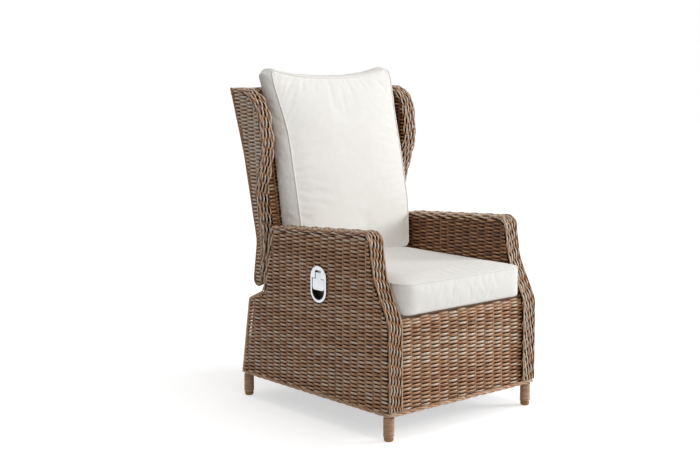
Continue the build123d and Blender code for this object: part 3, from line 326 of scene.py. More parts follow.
class Weave:
    """Strands gathered into one piece, each a closed tube with a tint of its own."""

    def __init__(self, seed, tints=(0.0, 1.0)):
        self.random = np.random.default_rng(seed)
        self.tint_range = tints
        self.points, self.corners, self.sizes, self.runs, self.tints = [], [], [], [], []
        self.count = 0

    def lay(self, line, facing, width, depth, tone_and_painted_light=0.0):
        """One strand along a line of points. Its width lies across, its depth along facing."""
        travel = travel_of(line)
        across = unit(np.cross(travel, facing))
        facing = np.cross(across, travel)
        angles = 2 * pi * (np.arange(SIDES) + 0.5) / SIDES
        width = np.broadcast_to(width, len(line))[:, None, None]
        depth = np.broadcast_to(depth, len(line))[:, None, None]
        rings = line[:, None] + across[:, None] * width * np.cos(angles)[:, None]
        rings = rings + facing[:, None] * depth * np.sin(angles)[:, None]
        steps, sides = np.meshgrid(np.arange(len(line) - 1), np.arange(SIDES), indexing="ij")
        ahead = steps[..., None] + (0, 1, 1, 0)
        around = sides[..., None] + (0, 0, 1, 1)
        quads = (ahead * SIDES + around % SIDES).reshape(-1, 4) + self.count
        last = self.count + (len(line) - 1) * SIDES
        caps = [np.arange(SIDES) + self.count, last + np.arange(SIDES)[::-1]]
        self.corners += [quads.ravel(), *caps]
        self.sizes += [np.full(len(quads), 4), [SIDES, SIDES]]
        along = length_of(line) + self.random.uniform(0, 50)
        offset = self.random.uniform(0, 50)
        run = np.stack([along[ahead], offset + around / SIDES], -1)
        ends = [np.tile([end, offset], (SIDES, 1)) for end in along[[0, -1]]]
        self.runs += [run.reshape(-1, 2), *ends]
        self.points.append(rings.reshape(-1, 3))
        # a strand's random tint, shifted by its painted light on crests and painted shade in dips, or a
        # stake's darker tone
        tints = self.random.uniform(*self.tint_range) + np.broadcast_to(tone_and_painted_light, len(line))
        self.tints.append(np.repeat(tints, SIDES))
        self.count += len(line) * SIDES

    def row(self, line, facing, along, number, stake):
        """One strand over and under the stakes, a little uneven as woven by hand."""
        wave = np.cos(pi * along / stake + pi * number)
        passes = np.arange(floor(along[0] / stake), ceil(along[-1] / stake) + 1) * stake
        uneven = np.interp(along, passes, self.random.uniform(0.88, 1.0, len(passes)))
        lift = SWING * wave * (1.15 - 0.15 * wave**2) * uneven
        across = unit(np.cross(travel_of(line), facing))
        sway = self.random.uniform(0.0001, 0.0004)
        sway = sway * np.sin(along * self.random.uniform(15, 50) + self.random.uniform(0, 2 * pi))
        width = STRAND_WIDTH * self.random.uniform(0.97, 1.03) * (0.98 + CREST_WIDTH * wave)
        line = line + lift[:, None] * facing + sway[:, None] * across
        # painted light on the strand's crests and painted shade in its dips
        self.lay(line, facing, width, STRAND_DEPTH, CREST_PAINTED_LIGHT * wave)

    def twist(self, line, facing, strands, radius, lay_length, width):
        """Strands twisted round a line as a rope. Its radius may change along it."""
        travel = travel_of(line)
        across = unit(np.cross(travel, facing))
        up = np.cross(across, travel)
        along = length_of(line)
        radius = np.broadcast_to(radius, len(line))[:, None]
        for number in range(strands):
            wander = 0.3 * np.sin(along * self.random.uniform(12, 40) + self.random.uniform(0, 2 * pi))
            turn = (2 * pi * along / lay_length + 2 * pi * number / strands + wander)[:, None]
            offset = radius * (up * np.cos(turn) + across * np.sin(turn))
            self.lay(line + offset, unit(offset), width, width * 0.92)

    def make(self, name, body, *replaced):
        """The piece itself, set on its body in place of pieces of the frame."""
        sizes = np.concatenate(self.sizes)
        mesh = bpy.data.meshes.new(name)
        mesh.vertices.add(self.count)
        mesh.vertices.foreach_set("co", np.concatenate(self.points).ravel())
        mesh.loops.add(int(sizes.sum()))
        mesh.loops.foreach_set("vertex_index", np.concatenate(self.corners).astype(np.int32))
        mesh.polygons.add(len(sizes))
        mesh.polygons.foreach_set("loop_start", (np.cumsum(sizes) - sizes).astype(np.int32))
        mesh.update(calc_edges=True)
        mesh.uv_layers.new(name="strand_run").data.foreach_set("uv", np.concatenate(self.runs).ravel())
        mesh.attributes.new("tint", "FLOAT", "POINT").data.foreach_set("value", np.concatenate(self.tints))
        mesh.polygons.foreach_set("use_smooth", np.ones(len(sizes), bool))
        mesh.materials.append(resin_strand.material)
        piece = added(name, mesh)
        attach(piece, body)
        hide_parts(*replaced)


def woven_side(weave, edges, place, facing, below=0.0):
    """Level rows over a flat side, with its stakes upright; place gives the X of a height."""
    low, high = edges[0].min(0), edges[0].max(0)
    for number, z in enumerate(np.arange(low[1] + ROW / 2 - below, high[1], ROW)):
        for start, end in spans(edges, max(z, low[1] + 1e-6), 1):
            y = stations(start, end, SIDE_STAKES / STEPS)
            weave.row(joined(place(z), y, z), facing, y, number, SIDE_STAKES)
    for y in (np.arange(ceil(low[0] / SIDE_STAKES), floor(high[0] / SIDE_STAKES)) + 0.5) * SIDE_STAKES:
        for start, end in spans(edges, y, 0):
            ends = np.array([start, end])
            line = joined(place(ends), y, ends) + STAKE_OUT * np.array(facing)
            weave.lay(line, facing, STAKE_WIDTH, STAKE_DEPTH, STAKE_TINT)


SHELF_FRONT = (0.253, 0.379)
base_corners = [
    (0.366, SKIN_FOOT), (0.324, 0.347), SHELF_FRONT, (0.206, 0.604),
    (-0.284, 0.635), (-0.308, 0.495), (-0.377, 0.365), (-0.380, SKIN_FOOT),
]
base_rounds = [0.015, 0.0, 0.020, 0.035, 0.150, 0.080]
base_side = Outline(base_corners, base_rounds)
WRAP_DEPTHS = (0.0030, 0.0098, 0.0166)  # strands of the bands that turn round onto the sides
WRAP_END = 0.0190
ROWS_IN = 0.0050  # the rows reach into the wound rear edges
GROOVE = 0.0125  # the rows end before the front of the arm
FADE = 0.06
arm_start = base_side.nearest(SHELF_FRONT)
wrap_stop = base_side.nearest((-0.255, 0.633))
side_inset = np.interp(
    base_side.along,
    [arm_start - 0.02, arm_start, wrap_stop, wrap_stop + FADE],
    [ROWS_IN, WRAP_END, WRAP_END, GROOVE],
)
side_edge, _ = base_side.at(base_side.along, side_inset[:, None])

# The left side is cut out for the release handle, under the rim of its bezel
bezel_low, bezel_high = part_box("handle_bezel")
HANDLE_RIM = 0.003
hole_round = (bezel_high.y - bezel_low.y) / 2 - HANDLE_RIM
hole_middle = (bezel_low + bezel_high) / 2
hole_straight = (bezel_high.z - bezel_low.z) / 2 - HANDLE_RIM - hole_round
angles = np.linspace(0, 2 * pi, 64, endpoint=False)
handle_hole = np.stack([
    hole_middle.y + hole_round * np.cos(angles),
    hole_middle.z + hole_round * np.sin(angles) + hole_straight * np.sign(np.sin(angles) + 1e-9),
], 1)

INNER_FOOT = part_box("left_inner_panel")[0].z
# painted shade: the strands inside the arms and inside the wings get darker tints, for the shade on these
# inward faces
INNER_SHADED_TINTS = (-0.7, 0.3)
inner_edge = side_edge[side_edge[:, 1] > INNER_FOOT]
for seed, (side_name, sign) in enumerate(BOTH):
    outer = Weave(10 + seed)
    holes = [handle_hole] if side_name == "left" else []
    woven_side(outer, [side_edge, *holes], lambda z: sign * (HALF - SKIN_MIDDLE), (sign, 0, 0), FOOT_ROWS)
    outer.make(side_name + "_outer_weave", "base", side_name + "_outer_panel")
    inner = Weave(20 + seed, INNER_SHADED_TINTS)
    woven_side(inner, [inner_edge], lambda z: sign * (ARM_INNER + SKIN_MIDDLE), (-sign, 0, 0))
    inner.make(side_name + "_inner_weave", "base", side_name + "_inner_panel")

# Front and rear panels of the base: the same weave laid across the chair. The rear one turns over
# its shelf behind the seat, which is slotted for the hinge lugs and the crank.
FRONT_STAKES = 0.0406
FRONT_RECESS = 0.012
FRONT_TUCKED = 0.004  # of the front's rows, into the arms
STAKE_STEP = 0.02
REAR_STAKES = 0.0390
SLOT_Y = 0.303
LUG_SLOT = (0.240, 0.256)
CRANK_SLOT = 0.018
SLOT_ENDS = (-LUG_SLOT[1], -LUG_SLOT[0], -CRANK_SLOT, CRANK_SLOT, *LUG_SLOT)
EDGE_CORE = 0.0030  # under the strand that is wound round the rear edges
EDGE_STRAND = 0.0029
EDGE_INSET = 0.0038


def woven_across(weave, outline, start, end, depth, reach, stake, slots=lambda y, z: ()):
    """Rows across the chair, stacked along a side outline; reach gives the half width at a height."""
    for number, along in enumerate(np.arange(start + ROW / 2, end, ROW)):
        (y, z), (out_y, out_z) = outline.at(along, depth)
        ends = [-reach(z), *slots(y, z), reach(z)]
        for low, high in zip(ends[::2], ends[1::2]):
            x = stations(low, high, stake / STEPS)
            weave.row(joined(x, y, z), (0, out_y, out_z), x, number, stake)
    line, outward = outline.at(stations(start, end, STAKE_STEP), depth)
    widest = reach(line[:, 1].max())
    for x in (np.arange(ceil(-widest / stake), floor(widest / stake)) + 0.5) * stake:
        clear = np.array([not slots(y, z) and abs(x) < reach(z) - STAKE_WIDTH for y, z in line])
        if clear.sum() > 2:
            facing = joined(0, *outward[clear].T)
            stake_line = joined(x, *line[clear].T) + STAKE_OUT * facing
            weave.lay(stake_line, facing, STAKE_WIDTH, STAKE_DEPTH, STAKE_TINT)


def edge_line(outline, start, end, depth, place, step=0.006):
    """A line of points under an outline, with its outward directions; place gives the X of a height."""
    line, outward = outline.at(stations(start, end, step), depth)
    return joined(place(line[:, 1]), *line.T), joined(0, *outward.T)


def wound_edge(weave, outline, start, end, place):
    """A strand wound round an edge, turn on turn, over a plain core."""
    line, facing = edge_line(outline, start, end, EDGE_INSET, place, ROW / 9)
    weave.twist(line, facing, 1, EDGE_CORE, ROW, EDGE_STRAND)
    weave.lay(line[::9], facing[::9], EDGE_CORE, EDGE_CORE)


def shelf_slots(y, z):
    """The ends of the rows beside the slots in the shelf, from the left to the right."""
    return SLOT_ENDS if y <= SLOT_Y else ()


front_weave = Weave(30)
FRONT_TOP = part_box("seat_deck")[1].z - 0.0015
feet = [(base_corners[k][0], SKIN_FOOT - FOOT_ROWS) for k in (0, -1)]
low_side = Outline([feet[0], *base_corners[1:-1], feet[1]], base_rounds)
front_start = low_side.nearest((-0.377, FRONT_TOP))
woven_across(
    front_weave, low_side, front_start, low_side.length, FRONT_RECESS + SKIN_MIDDLE,
    lambda z: ARM_INNER + FRONT_TUCKED, FRONT_STAKES,
)
front_weave.make("front_weave", "base", "front_panel")
rear_weave = Weave(31)
shelf_end = low_side.nearest(SHELF_FRONT)
woven_across(
    rear_weave, low_side, 0.0, shelf_end, SKIN_MIDDLE, lambda z: HALF - EDGE_INSET, REAR_STAKES, shelf_slots,
)
for sign in (-1, 1):
    wound_edge(rear_weave, low_side, 0.0, shelf_end, lambda z: sign * (HALF - EDGE_INSET))
rear_weave.make("rear_weave", "base", "rear_panel")

# Painted shade: thin black sheets set on the base close behind its weave, with the look of plastic
#  shade cloth, keep the gaps between the strands dark. The left side's sheet is cut round the handle.
SHADE_SHEET_IN = 2 * SKIN_MIDDLE + 0.0006
# thickness of the black sheets of painted shade
LINING = 0.0008
SHADE_SHEET_STEP = 0.02
painted_shade_sheet = Finish("painted_shade_sheet", {"Roughness": 0.9, "Specular IOR Level": 0.1})
sheet_texture = painted_shade_sheet.noise(painted_shade_sheet.place((1, 1, 1)), 700.0, 2.0)
painted_shade_sheet.mottle(sheet_texture, (0.008, 0.007, 0.006), (0.016, 0.014, 0.012), relief=(0.0003, 0.6))


def dark_sheet(name, points, order, body="base", strip=False):
    """A thin black sheet of painted shade, flat or a strip of pairs of points; order gives its outer face."""
    if strip:
        faces = [(k, k + 1, k + 3, k + 2)[::order] for k in range(0, len(points) - 2, 2)]
    else:
        faces = [list(range(len(points)))[::order]]
    mesh = bpy.data.meshes.new(name)
    mesh.from_pydata(points, [], faces)
    sheet = added(name, mesh)
    sheet.modifiers.new("thickness", "SOLIDIFY").thickness = LINING
    bpy.ops.object.modifier_apply(modifier="thickness")
    mesh.materials.append(painted_shade_sheet.material)
    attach(sheet, body)


def dark_strip(name, outline, start, end, depth, ends, body="base"):
    """A black sheet of painted shade across the chair that follows an outline; ends gives its two X at a
    height.
    """
    line, _ = outline.at(stations(start, end, SHADE_SHEET_STEP), depth)
    points = [(x, y, z) for y, z in line for x in ends(z)]
    dark_sheet(name, points, 1, body, strip=True)


dark_sheet_edge, _ = low_side.at(low_side.along[::4], SHADE_SHEET_IN)
for side_name, sign in BOTH:
    halves = [dark_sheet_edge]
    if side_name == "left":
        middle = hole_middle.y
        upper, lower = dark_sheet_edge[dark_sheet_edge[:, 1] > 0.58][::-1], dark_sheet_edge[dark_sheet_edge[:, 1] < 0.1]
        top, foot = (np.interp(middle, *part.T) for part in (upper, lower))
        halves = []
        for before in (True, False):
            kept = dark_sheet_edge[(dark_sheet_edge[:, 0] > middle) == before]
            round_hole = handle_hole[(handle_hole[:, 0] > middle) == before]
            round_hole = round_hole[np.argsort(round_hole[:, 1])]
            if before:
                halves.append(np.array([*kept, (middle, top), *round_hole[::-1], (middle, foot)]))
            else:
                halves.append(np.array([(middle, top), *kept, (middle, foot), *round_hole]))
    for number, half in enumerate(halves):
        points = [(sign * (HALF - SHADE_SHEET_IN), y, z) for y, z in half]
        dark_sheet(f"{side_name}_lining_cloth_{number + 1}", points, -sign)
    points = [(sign * (ARM_INNER + SHADE_SHEET_IN), y, z) for y, z in dark_sheet_edge if z > INNER_FOOT]
    dark_sheet(side_name + "_inner_lining_cloth", points, sign)
for name, start, end, depth in (
    ("front_lining_cloth", low_side.nearest((-0.377, INNER_FOOT)), low_side.length, FRONT_RECESS),
    ("rear_lining_cloth", 0.0, low_side.nearest(base_corners[1]), 0.0),
):
    dark_strip(name, low_side, start, end, depth + SHADE_SHEET_IN, lambda z: (SHADE_SHEET_IN - HALF, HALF - SHADE_SHEET_IN))

# Arm bands: nine strands along each arm, woven over hidden cross stakes so that every other one
#  dives. Along the arm's top and rear three more turn round each edge; rims run down its front.
#  Black sheets of painted shade lie under each band and in the grooves beside the rims.
BAND_STRANDS = 9
BAND_STAKES = 0.0330
BAND_WIDTH = 0.0025
BAND_DEPTH = 0.0026
BAND_SWING = 0.0050
BAND_SWAY = 0.0012
# painted light: a band's strands are paler on their crests and darker where they dip
BAND_CREST_PAINTED_LIGHT = 0.8
BAND_DRIFT = 0.25  # turn by which each strand lags behind the one before
BAND_TINTS = (0.25, 1.25)
BAND_MIDDLE = BAND_SWING + BAND_DEPTH
# depth of the black sheet of painted shade under a band
BAND_SHADE_DEPTH = 2 * BAND_MIDDLE + 0.001
ARM_EDGE = 0.002
RIM = 0.0030
RIM_STRAND = RIM * 0.8
GROOVE_IN = 0.0045  # of the strips in the grooves, which reach from near the edge to far under it
GROOVE_NEAR = 0.0025
GROOVE_FAR = 0.0150
REAR_FAR = 0.0085
WRAP_SWING = 0.0028
WRAP_MIDDLE = WRAP_SWING + BAND_DEPTH


def lace(weave, line, facing, along, number, swing=BAND_SWING):
    """One strand of a band, which comes over a cross stake and then dives under the next."""
    wander = 0.5 * np.sin(along * 17) + 0.25 * np.sin(along * weave.random.uniform(10, 25) + number)
    turn = pi * along / BAND_STAKES + (pi + BAND_DRIFT) * number + wander
    across = unit(np.cross(travel_of(line), facing))
    sway = BAND_SWAY * np.sin(turn)
    wave = np.cos(turn)
    line = line + sway[:, None] * across + (swing * wave)[:, None] * facing
    # painted light on the band strand's crests and painted shade in its dips
    weave.lay(line, facing, BAND_WIDTH * (1.04 + 0.1 * wave), BAND_DEPTH, BAND_CREST_PAINTED_LIGHT * wave)


def laced_band(weave, outline, start, end, place, strands):
    """Strands along a band; place gives their X from the share across and the height."""
    for number in range(strands):
        along = stations(start, end, BAND_STAKES / STEPS)
        line, outward = outline.at(along, BAND_MIDDLE)
        x = place((number + 0.5) / strands, line[:, 1])
        lace(weave, joined(x, *line.T), joined(0, *outward.T), along, number)


for seed, (side_name, sign) in enumerate(BOTH):
    band = Weave(40 + seed, BAND_TINTS)

    def across_arm(share, z):
        return sign * (ARM_INNER + ARM_EDGE + share * (HALF - ARM_INNER - 2 * ARM_EDGE))

    laced_band(band, base_side, arm_start, base_side.length, across_arm, BAND_STRANDS)
    for x, facing in ((HALF - WRAP_MIDDLE, (sign, 0, 0)), (ARM_INNER + WRAP_MIDDLE, (-sign, 0, 0))):
        for number, depth in enumerate(WRAP_DEPTHS):
            along = stations(arm_start, wrap_stop + FADE, BAND_STAKES / STEPS)
            shallower = np.clip((wrap_stop + FADE - along) / FADE, 0.15, 1)
            line, _ = base_side.at(along, (depth * shallower)[:, None])
            lace(band, joined(sign * x, *line.T), facing, along, number, WRAP_SWING)
    for x in (HALF - RIM, ARM_INNER + RIM):
        line, facing = edge_line(base_side, wrap_stop, base_side.length, RIM, lambda z: sign * x)
        band.lay(line, facing, RIM_STRAND, RIM_STRAND)
    band.make(side_name + "_arm_weave", "base", side_name + "_arm_band")
    # a black sheet of painted shade under the band, and strips of it in the grooves
    dark_strip(
        side_name + "_arm_lining_cloth", base_side, arm_start, base_side.length, BAND_SHADE_DEPTH,
        lambda z: (sign * (ARM_INNER + RIM), sign * (HALF - RIM))[::sign],
    )
    for name, x, turned, start, end, far in (
        ("outer", HALF - GROOVE_IN, 1, wrap_stop, base_side.length, GROOVE_FAR),
        ("inner", ARM_INNER + GROOVE_IN, -1, wrap_stop, base_side.length, GROOVE_FAR),
        ("rear", HALF - GROOVE_IN, 1, 0, arm_start, REAR_FAR),
    ):
        edges = [base_side.at(stations(start, end, SHADE_SHEET_STEP), depth)[0] for depth in (GROOVE_NEAR, far)]
        points = [(sign * x, *point) for pair in zip(*edges) for point in pair]
        dark_sheet(f"{side_name}_{name}_groove_shade_sheet", points, turned * sign, strip=True)

# Braid round the foot of the base: three strands of the same resin with a long twist.
# It runs round all four sides in one piece and is bound on under the panels.
BRAID_STRANDS = 3
BRAID_LAY = 0.105
braid_low, braid_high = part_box("bottom_braid")
braid_radius = (braid_high.z - braid_low.z) / 2
BRAID_CORNER = 0.012
PLAN_END = 0.004  # past the middle of the front, or before it


def rounded_plan(half, front, rear, corner, end):
    """An oblong with round corners seen from above, from the middle of its front and round to it."""
    corners = [(0, front), (half, front), (half, rear), (-half, rear), (-half, front), (end, front)]
    return Outline(corners, [corner] * 4)


braid = Weave(50, (0.7, 1.3))
front_y, rear_y = braid_low.y + braid_radius, braid_high.y - braid_radius
plan = rounded_plan(braid_high.x - braid_radius, front_y, rear_y, BRAID_CORNER, PLAN_END)
braid_line = np.insert(plan.line[::4], 2, (braid_low.z + braid_high.z) / 2, axis=1)
braid_lay = plan.length / round(plan.length / BRAID_LAY)
strand_radius = braid_radius * 0.46
braid.twist(braid_line, (0, 0, 1), BRAID_STRANDS, braid_radius - strand_radius, braid_lay, strand_radius)
braid.make("bottom_braid_weave", "base", "bottom_braid")

# Legs: aluminium posts welded under the corners of the frame, each wrapped from end to end
# with one pale strand, turn on turn. A thinner post goes on up inside the base.
LEG_PITCH = 0.0046
LEG_STRAND = 0.0024
leg_low, leg_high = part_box("legs")
LEG_RADIUS = 0.0175
LEG_POST = 0.006
LEG_TOP = 0.0777
leg_x = leg_high.x - LEG_RADIUS
leg_places = [(x, y) for x in (-leg_x, leg_x) for y in (leg_low.y + LEG_RADIUS, leg_high.y - LEG_RADIUS)]
wraps = Weave(60, (0.8, 1.2))
for x, y in leg_places:
    turns = (LEG_TOP - leg_low.z - 2 * LEG_STRAND) / LEG_PITCH
    angle = np.linspace(0, 2 * pi * turns, int(turns * 18))
    radius = LEG_RADIUS - LEG_STRAND
    z = leg_low.z + LEG_STRAND + LEG_PITCH * angle / (2 * pi)
    line = joined(x + radius * np.cos(angle), y + radius * np.sin(angle), z)
    wraps.lay(line, joined(np.cos(angle), np.sin(angle), 0), LEG_STRAND, LEG_STRAND)
    for reach, top in ((radius, LEG_TOP), (LEG_POST, leg_high.z)):
        wraps.lay(np.array([[x, y, leg_low.z], [x, y, top]]), (0, 1, 0), reach, reach)
wraps.make("leg_wraps", "base", "legs")

# Glides: feet of orange brown plastic, moulded with a rounded rim and pressed into the
# ends of the legs.
glide_plastic = Finish("glide_plastic", {"Roughness": 0.45})
scuffs = glide_plastic.noise(glide_plastic.place((1, 1, 1)), 160.0, 4.0, 0.6)
glide_plastic.mottle(
    scuffs, (0.26, 0.13, 0.035), (0.40, 0.21, 0.065), rough=(0.35, 0.3), relief=(0.0002, 0.4),
)
GLIDE_TOP = 0.016
GLIDE_TIP = 0.0135
GLIDE_ROUND = 0.004
glide_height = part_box("foot_glides")[1].z


def round_edges(piece, width, segments, sharp, smooth):
    """Rounds the sharp edges of the active piece and shades it smooth, by two angles in degrees."""
    rounding = piece.modifiers.new("round", "BEVEL")
    rounding.width = width
    rounding.segments = segments
    rounding.limit_method = "ANGLE"
    rounding.angle_limit = radians(sharp)
    bpy.ops.object.modifier_apply(modifier="round")
    bpy.ops.object.shade_smooth_by_angle(angle=radians(smooth))
    piece.select_set(False)


for number, (x, y) in enumerate(leg_places):
    bpy.ops.mesh.primitive_cone_add(
        vertices=40, radius1=GLIDE_TIP, radius2=GLIDE_TOP, depth=glide_height,
        location=(x, y, glide_height / 2),
    )
    glide = bpy.context.object
    glide.name = f"glide_{number + 1}"
    bpy.ops.object.transform_apply(location=True)
    round_edges(glide, GLIDE_ROUND, 4, 30, 40)
    glide.data.materials.append(glide_plastic.material)
    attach(glide, "base")
    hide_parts("foot_glides")

# Release handle: a chromed bezel and paddle with rounded edges, over a black moulded finger cup
# that is let into the left side. The paddle swings out on a pin behind the bezel.
chrome = Finish("chrome", {"Base Color": (0.68, 0.70, 0.73, 1), "Metallic": 1.0})
smears = chrome.noise(chrome.place((1, 1, 1)), 60.0, 3.0)
chrome.vary(Roughness=0.05 + smears * 0.10)


def rounded_copy(name, node, width, body, finish):
    """A copy of a carried-over piece, merged and given rounded edges."""
    piece = added(name, nodes[node].data.copy())
    piece.select_set(True)
    bpy.ops.object.mode_set(mode="EDIT")
    bpy.ops.mesh.select_all(action="SELECT")
    bpy.ops.mesh.remove_doubles(threshold=0.00002)
    bpy.ops.mesh.dissolve_limited(angle_limit=radians(1))
    bpy.ops.object.mode_set(mode="OBJECT")
    round_edges(piece, width, 3, 35, 35)
    piece.data.materials.clear()
    piece.data.materials.append(finish.material)
    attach(piece, body)
    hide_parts(node)


rounded_copy("bezel", "handle_bezel", 0.0011, "base", chrome)
rounded_copy("paddle", "release_paddle", 0.0006, "release_paddle", chrome)
rounded_copy("finger_cup", "handle_cup", 0.0006, "base", black_plastic)

# Woven back: level rows round the rear and the front, ending in a rounded heel about the hinge,
# and flat cheeks that lean out and widen into wings.
PIVOT = (0.281, 0.41575)
BACK_DEPTH = 0.0456
HEEL = BACK_DEPTH / 2
SPLAY = tan(radians(2.7))
SPLAY_Z = 0.545
WING_WIDTH = 0.048
HEEL_GAP = 0.027  # over the hinge, for its lugs and the crank
FRONT_SKIN_START = 0.012
LINING_LAP = 0.004
BACK_STAKES = 0.0395
rear_corners = [(0.276, 0.548), (0.325, 0.835), (0.383, 1.050)]


def cheek_x(z):
    """Half of the back's width at a height."""
    return HALF + SPLAY * (z - SPLAY_Z)


tail = np.subtract(rear_corners[0], PIVOT)
tail_angle = np.arctan2(tail[1], tail[0]) + np.arcsin(HEEL / np.linalg.norm(tail))
heel_angles = tail_angle + pi / 2 + np.linspace(0, pi, 25)
heel_arc = [(PIVOT[0] + HEEL * cos(a), PIVOT[1] + HEEL * sin(a)) for a in heel_angles]
rear_line = Outline([*heel_arc, *rear_corners], [0.0] * 24 + [0.120, 0.400])
rear_straight = Outline([heel_arc[-1], *rear_corners], [0.120, 0.400])
front_points, _ = rear_straight.at(rear_straight.along, BACK_DEPTH)


def front_y_at(z):
    """The front line of the back at a height."""
    return np.interp(z, front_points[:, 1], front_points[:, 0])


WING_FOOT_Z = 0.705
LINING_FOOT = WING_FOOT_Z - 0.02
LINING_TOP = 1.042
BEND_Z = 0.545
wing_corners = [
    rear_corners[-1], (0.236, 1.053), (0.210, 0.865), (front_y_at(WING_FOOT_Z), WING_FOOT_Z),
    (front_y_at(BEND_Z) - 0.002, BEND_Z), heel_arc[0],
]
wing_line = Outline(wing_corners, [0.110, 0.150, 0.060, 0.160])
cheek_edge = np.concatenate([
    rear_line.at(rear_line.along, ROWS_IN)[0], wing_line.at(wing_line.along[10:-8], WRAP_END)[0],
])


def heel_slots(y, z):
    """The ends of the rows beside the gaps in the heel, from the left to the right."""
    return SLOT_ENDS if z <= PIVOT[1] + HEEL_GAP else ()


rear_skin = Weave(70)
woven_across(
    rear_skin, rear_line, 0.0, rear_line.length, SKIN_MIDDLE, lambda z: cheek_x(z) - EDGE_INSET, BACK_STAKES,
    heel_slots,
)
for sign in (-1, 1):
    wound_edge(rear_skin, rear_line, 0.0, rear_line.length, lambda z: sign * (cheek_x(z) - EDGE_INSET))
rear_skin.make("back_rear_weave", "back", "back_rear_skin")
front_skin = Weave(71)
front_corners = front_points[::-12]
front_line = Outline(front_corners, [0.0] * (len(front_corners) - 2))
woven_across(
    front_skin, front_line, FRONT_SKIN_START, front_line.length, SKIN_MIDDLE,
    lambda z: cheek_x(z) - WING_WIDTH, BACK_STAKES, heel_slots,
)
front_skin.make("back_front_weave", "back", "back_front_skin")

wing_front = wing_line.at(wing_line.along[4:], WRAP_END)[0]
wing_front = wing_front[wing_front[:, 1] > LINING_FOOT]
lining_front = wing_front[wing_front[:, 0] < front_y_at(wing_front[:, 1]) + LINING_LAP]
lining_heights = np.arange(LINING_FOOT, LINING_TOP, 0.01)
lining_rear = np.stack([front_y_at(lining_heights) + LINING_LAP, lining_heights], 1)
lining_edge = np.concatenate([lining_front, lining_rear])
for seed, (side_name, sign) in enumerate(BOTH):
    facing = unit(np.array([sign, 0, -SPLAY]))
    # painted light: the cheeks' strands get paler tints, for the stronger light on the cheeks above the arms
    cheek = Weave(80 + seed, (0.9, 1.7))
    woven_side(cheek, [cheek_edge], lambda z: sign * (cheek_x(z) - SKIN_MIDDLE), facing)
    cheek.make(side_name + "_cheek_weave", "back", side_name + "_cheek_skin")
    # painted shade: the wing lining's strands get the darker inner tints
    lining = Weave(90 + seed, INNER_SHADED_TINTS)
    inner_x = WING_WIDTH - SKIN_MIDDLE
    woven_side(lining, [lining_edge], lambda z: sign * (cheek_x(z) - inner_x), (-sign, 0, sign * SPLAY))
    lining.make(side_name + "_lining_weave", "back", side_name + "_wing_lining")

# Wing bands and top band: strands along the edge of each wing and along the top of the back,
# woven as on the arms, with three more turned round each edge of a wing.
WING_STRANDS = 7
TOP_STRANDS = 6
WING_EDGE = 0.0005
SHADE_SHEET_STOP = 0.012
wing_stop = wing_line.length - 0.004
for seed, (side_name, sign) in enumerate(BOTH):
    band = Weave(100 + seed, BAND_TINTS)

    def across_wing(share, z):
        return sign * (cheek_x(z) - WING_EDGE - (1 - share) * (WING_WIDTH - 2 * WING_EDGE))

    laced_band(band, wing_line, 0.0, wing_stop, across_wing, WING_STRANDS)
    outward = unit(np.array([sign, 0, -SPLAY]))
    inner_stop = wing_line.nearest((wing_corners[3][0], WING_FOOT_Z))
    for inset, facing, start, stop in (
        (WRAP_MIDDLE, outward, 0.0, wing_stop), (WING_WIDTH - WRAP_MIDDLE, -outward, BACK_DEPTH, inner_stop),
    ):
        for number, depth in enumerate(WRAP_DEPTHS):
            along = stations(start, stop, BAND_STAKES / STEPS)
            line, _ = wing_line.at(along, depth)
            line = joined(sign * (cheek_x(line[:, 1]) - inset), *line.T)
            lace(band, line, facing, along, number, WRAP_SWING)
    band.make(side_name + "_wing_weave", "back", side_name + "_wing_band")
    # a black sheet of painted shade under the wing band
    dark_strip(
        side_name + "_wing_lining_cloth", wing_line, 0.006, wing_line.length - SHADE_SHEET_STOP, BAND_SHADE_DEPTH,
        lambda z: (sign * (cheek_x(z) - WING_WIDTH + RIM), sign * (cheek_x(z) - RIM))[::sign],
        "back",
    )
    # a black sheet of painted shade inside each cheek
    points = [(sign * (cheek_x(z) - WING_WIDTH / 2), y, z) for y, z in cheek_edge]
    dark_sheet(side_name + "_cheek_lining_cloth", points, -sign, "back")
top_band = Weave(110, BAND_TINTS)
top_reach = cheek_x(rear_corners[-1][1]) - WING_WIDTH
for number in range(TOP_STRANDS):
    (y, z), (out_y, out_z) = wing_line.at(BACK_DEPTH * (number + 0.5) / TOP_STRANDS, BAND_MIDDLE)
    x = stations(-top_reach, top_reach, BAND_STAKES / STEPS)
    lace(top_band, joined(x, y, z), (0, out_y, out_z), x, number)
top_band.make("back_top_weave", "back", "back_top_band")
# a black sheet of painted shade behind the back's weave
lining_start = rear_line.nearest((0.303, PIVOT[1] + 0.035))
dark_strip(
    "back_lining_cloth", rear_line, lining_start, rear_line.length - SHADE_SHEET_STOP, HEEL,
    lambda z: (WING_WIDTH / 2 - cheek_x(z), cheek_x(z) - WING_WIDTH / 2), "back",
)

# Seat cushion: foam in a loose boxed cover of warm white cloth, sewn with piping round its top
# edge. It lies loose on the deck; the cover puckers a little between its seams.
cover_cloth = Finish("cover_cloth", {"Specular IOR Level": 0.25, "Sheen Weight": 0.15, "Roughness": 0.85})
threads_x = cover_cloth.noise(cover_cloth.place((160, 1500, 1500)), 1.0, 2.0)
threads_z = cover_cloth.noise(cover_cloth.place((1500, 160, 160)), 1.0, 2.0)
slubs = cover_cloth.noise(cover_cloth.place((40, 40, 40)), 1.0, 3.0)
threads = (threads_x + threads_z) * 0.5
cover_cloth.vary(
    Base_Color=cover_cloth.ramp(
        threads * 0.7 + slubs * 0.3, (0.3, (0.80, 0.78, 0.735)), (0.7, (0.88, 0.865, 0.83)),
    ),
    Roughness=0.78 + slubs * 0.15,
    Normal=cover_cloth.bump(threads, 0.0004, 0.5),
)
VOXEL = 0.0064
CLOTH_FRAMES = 20
PIPING = 0.0025


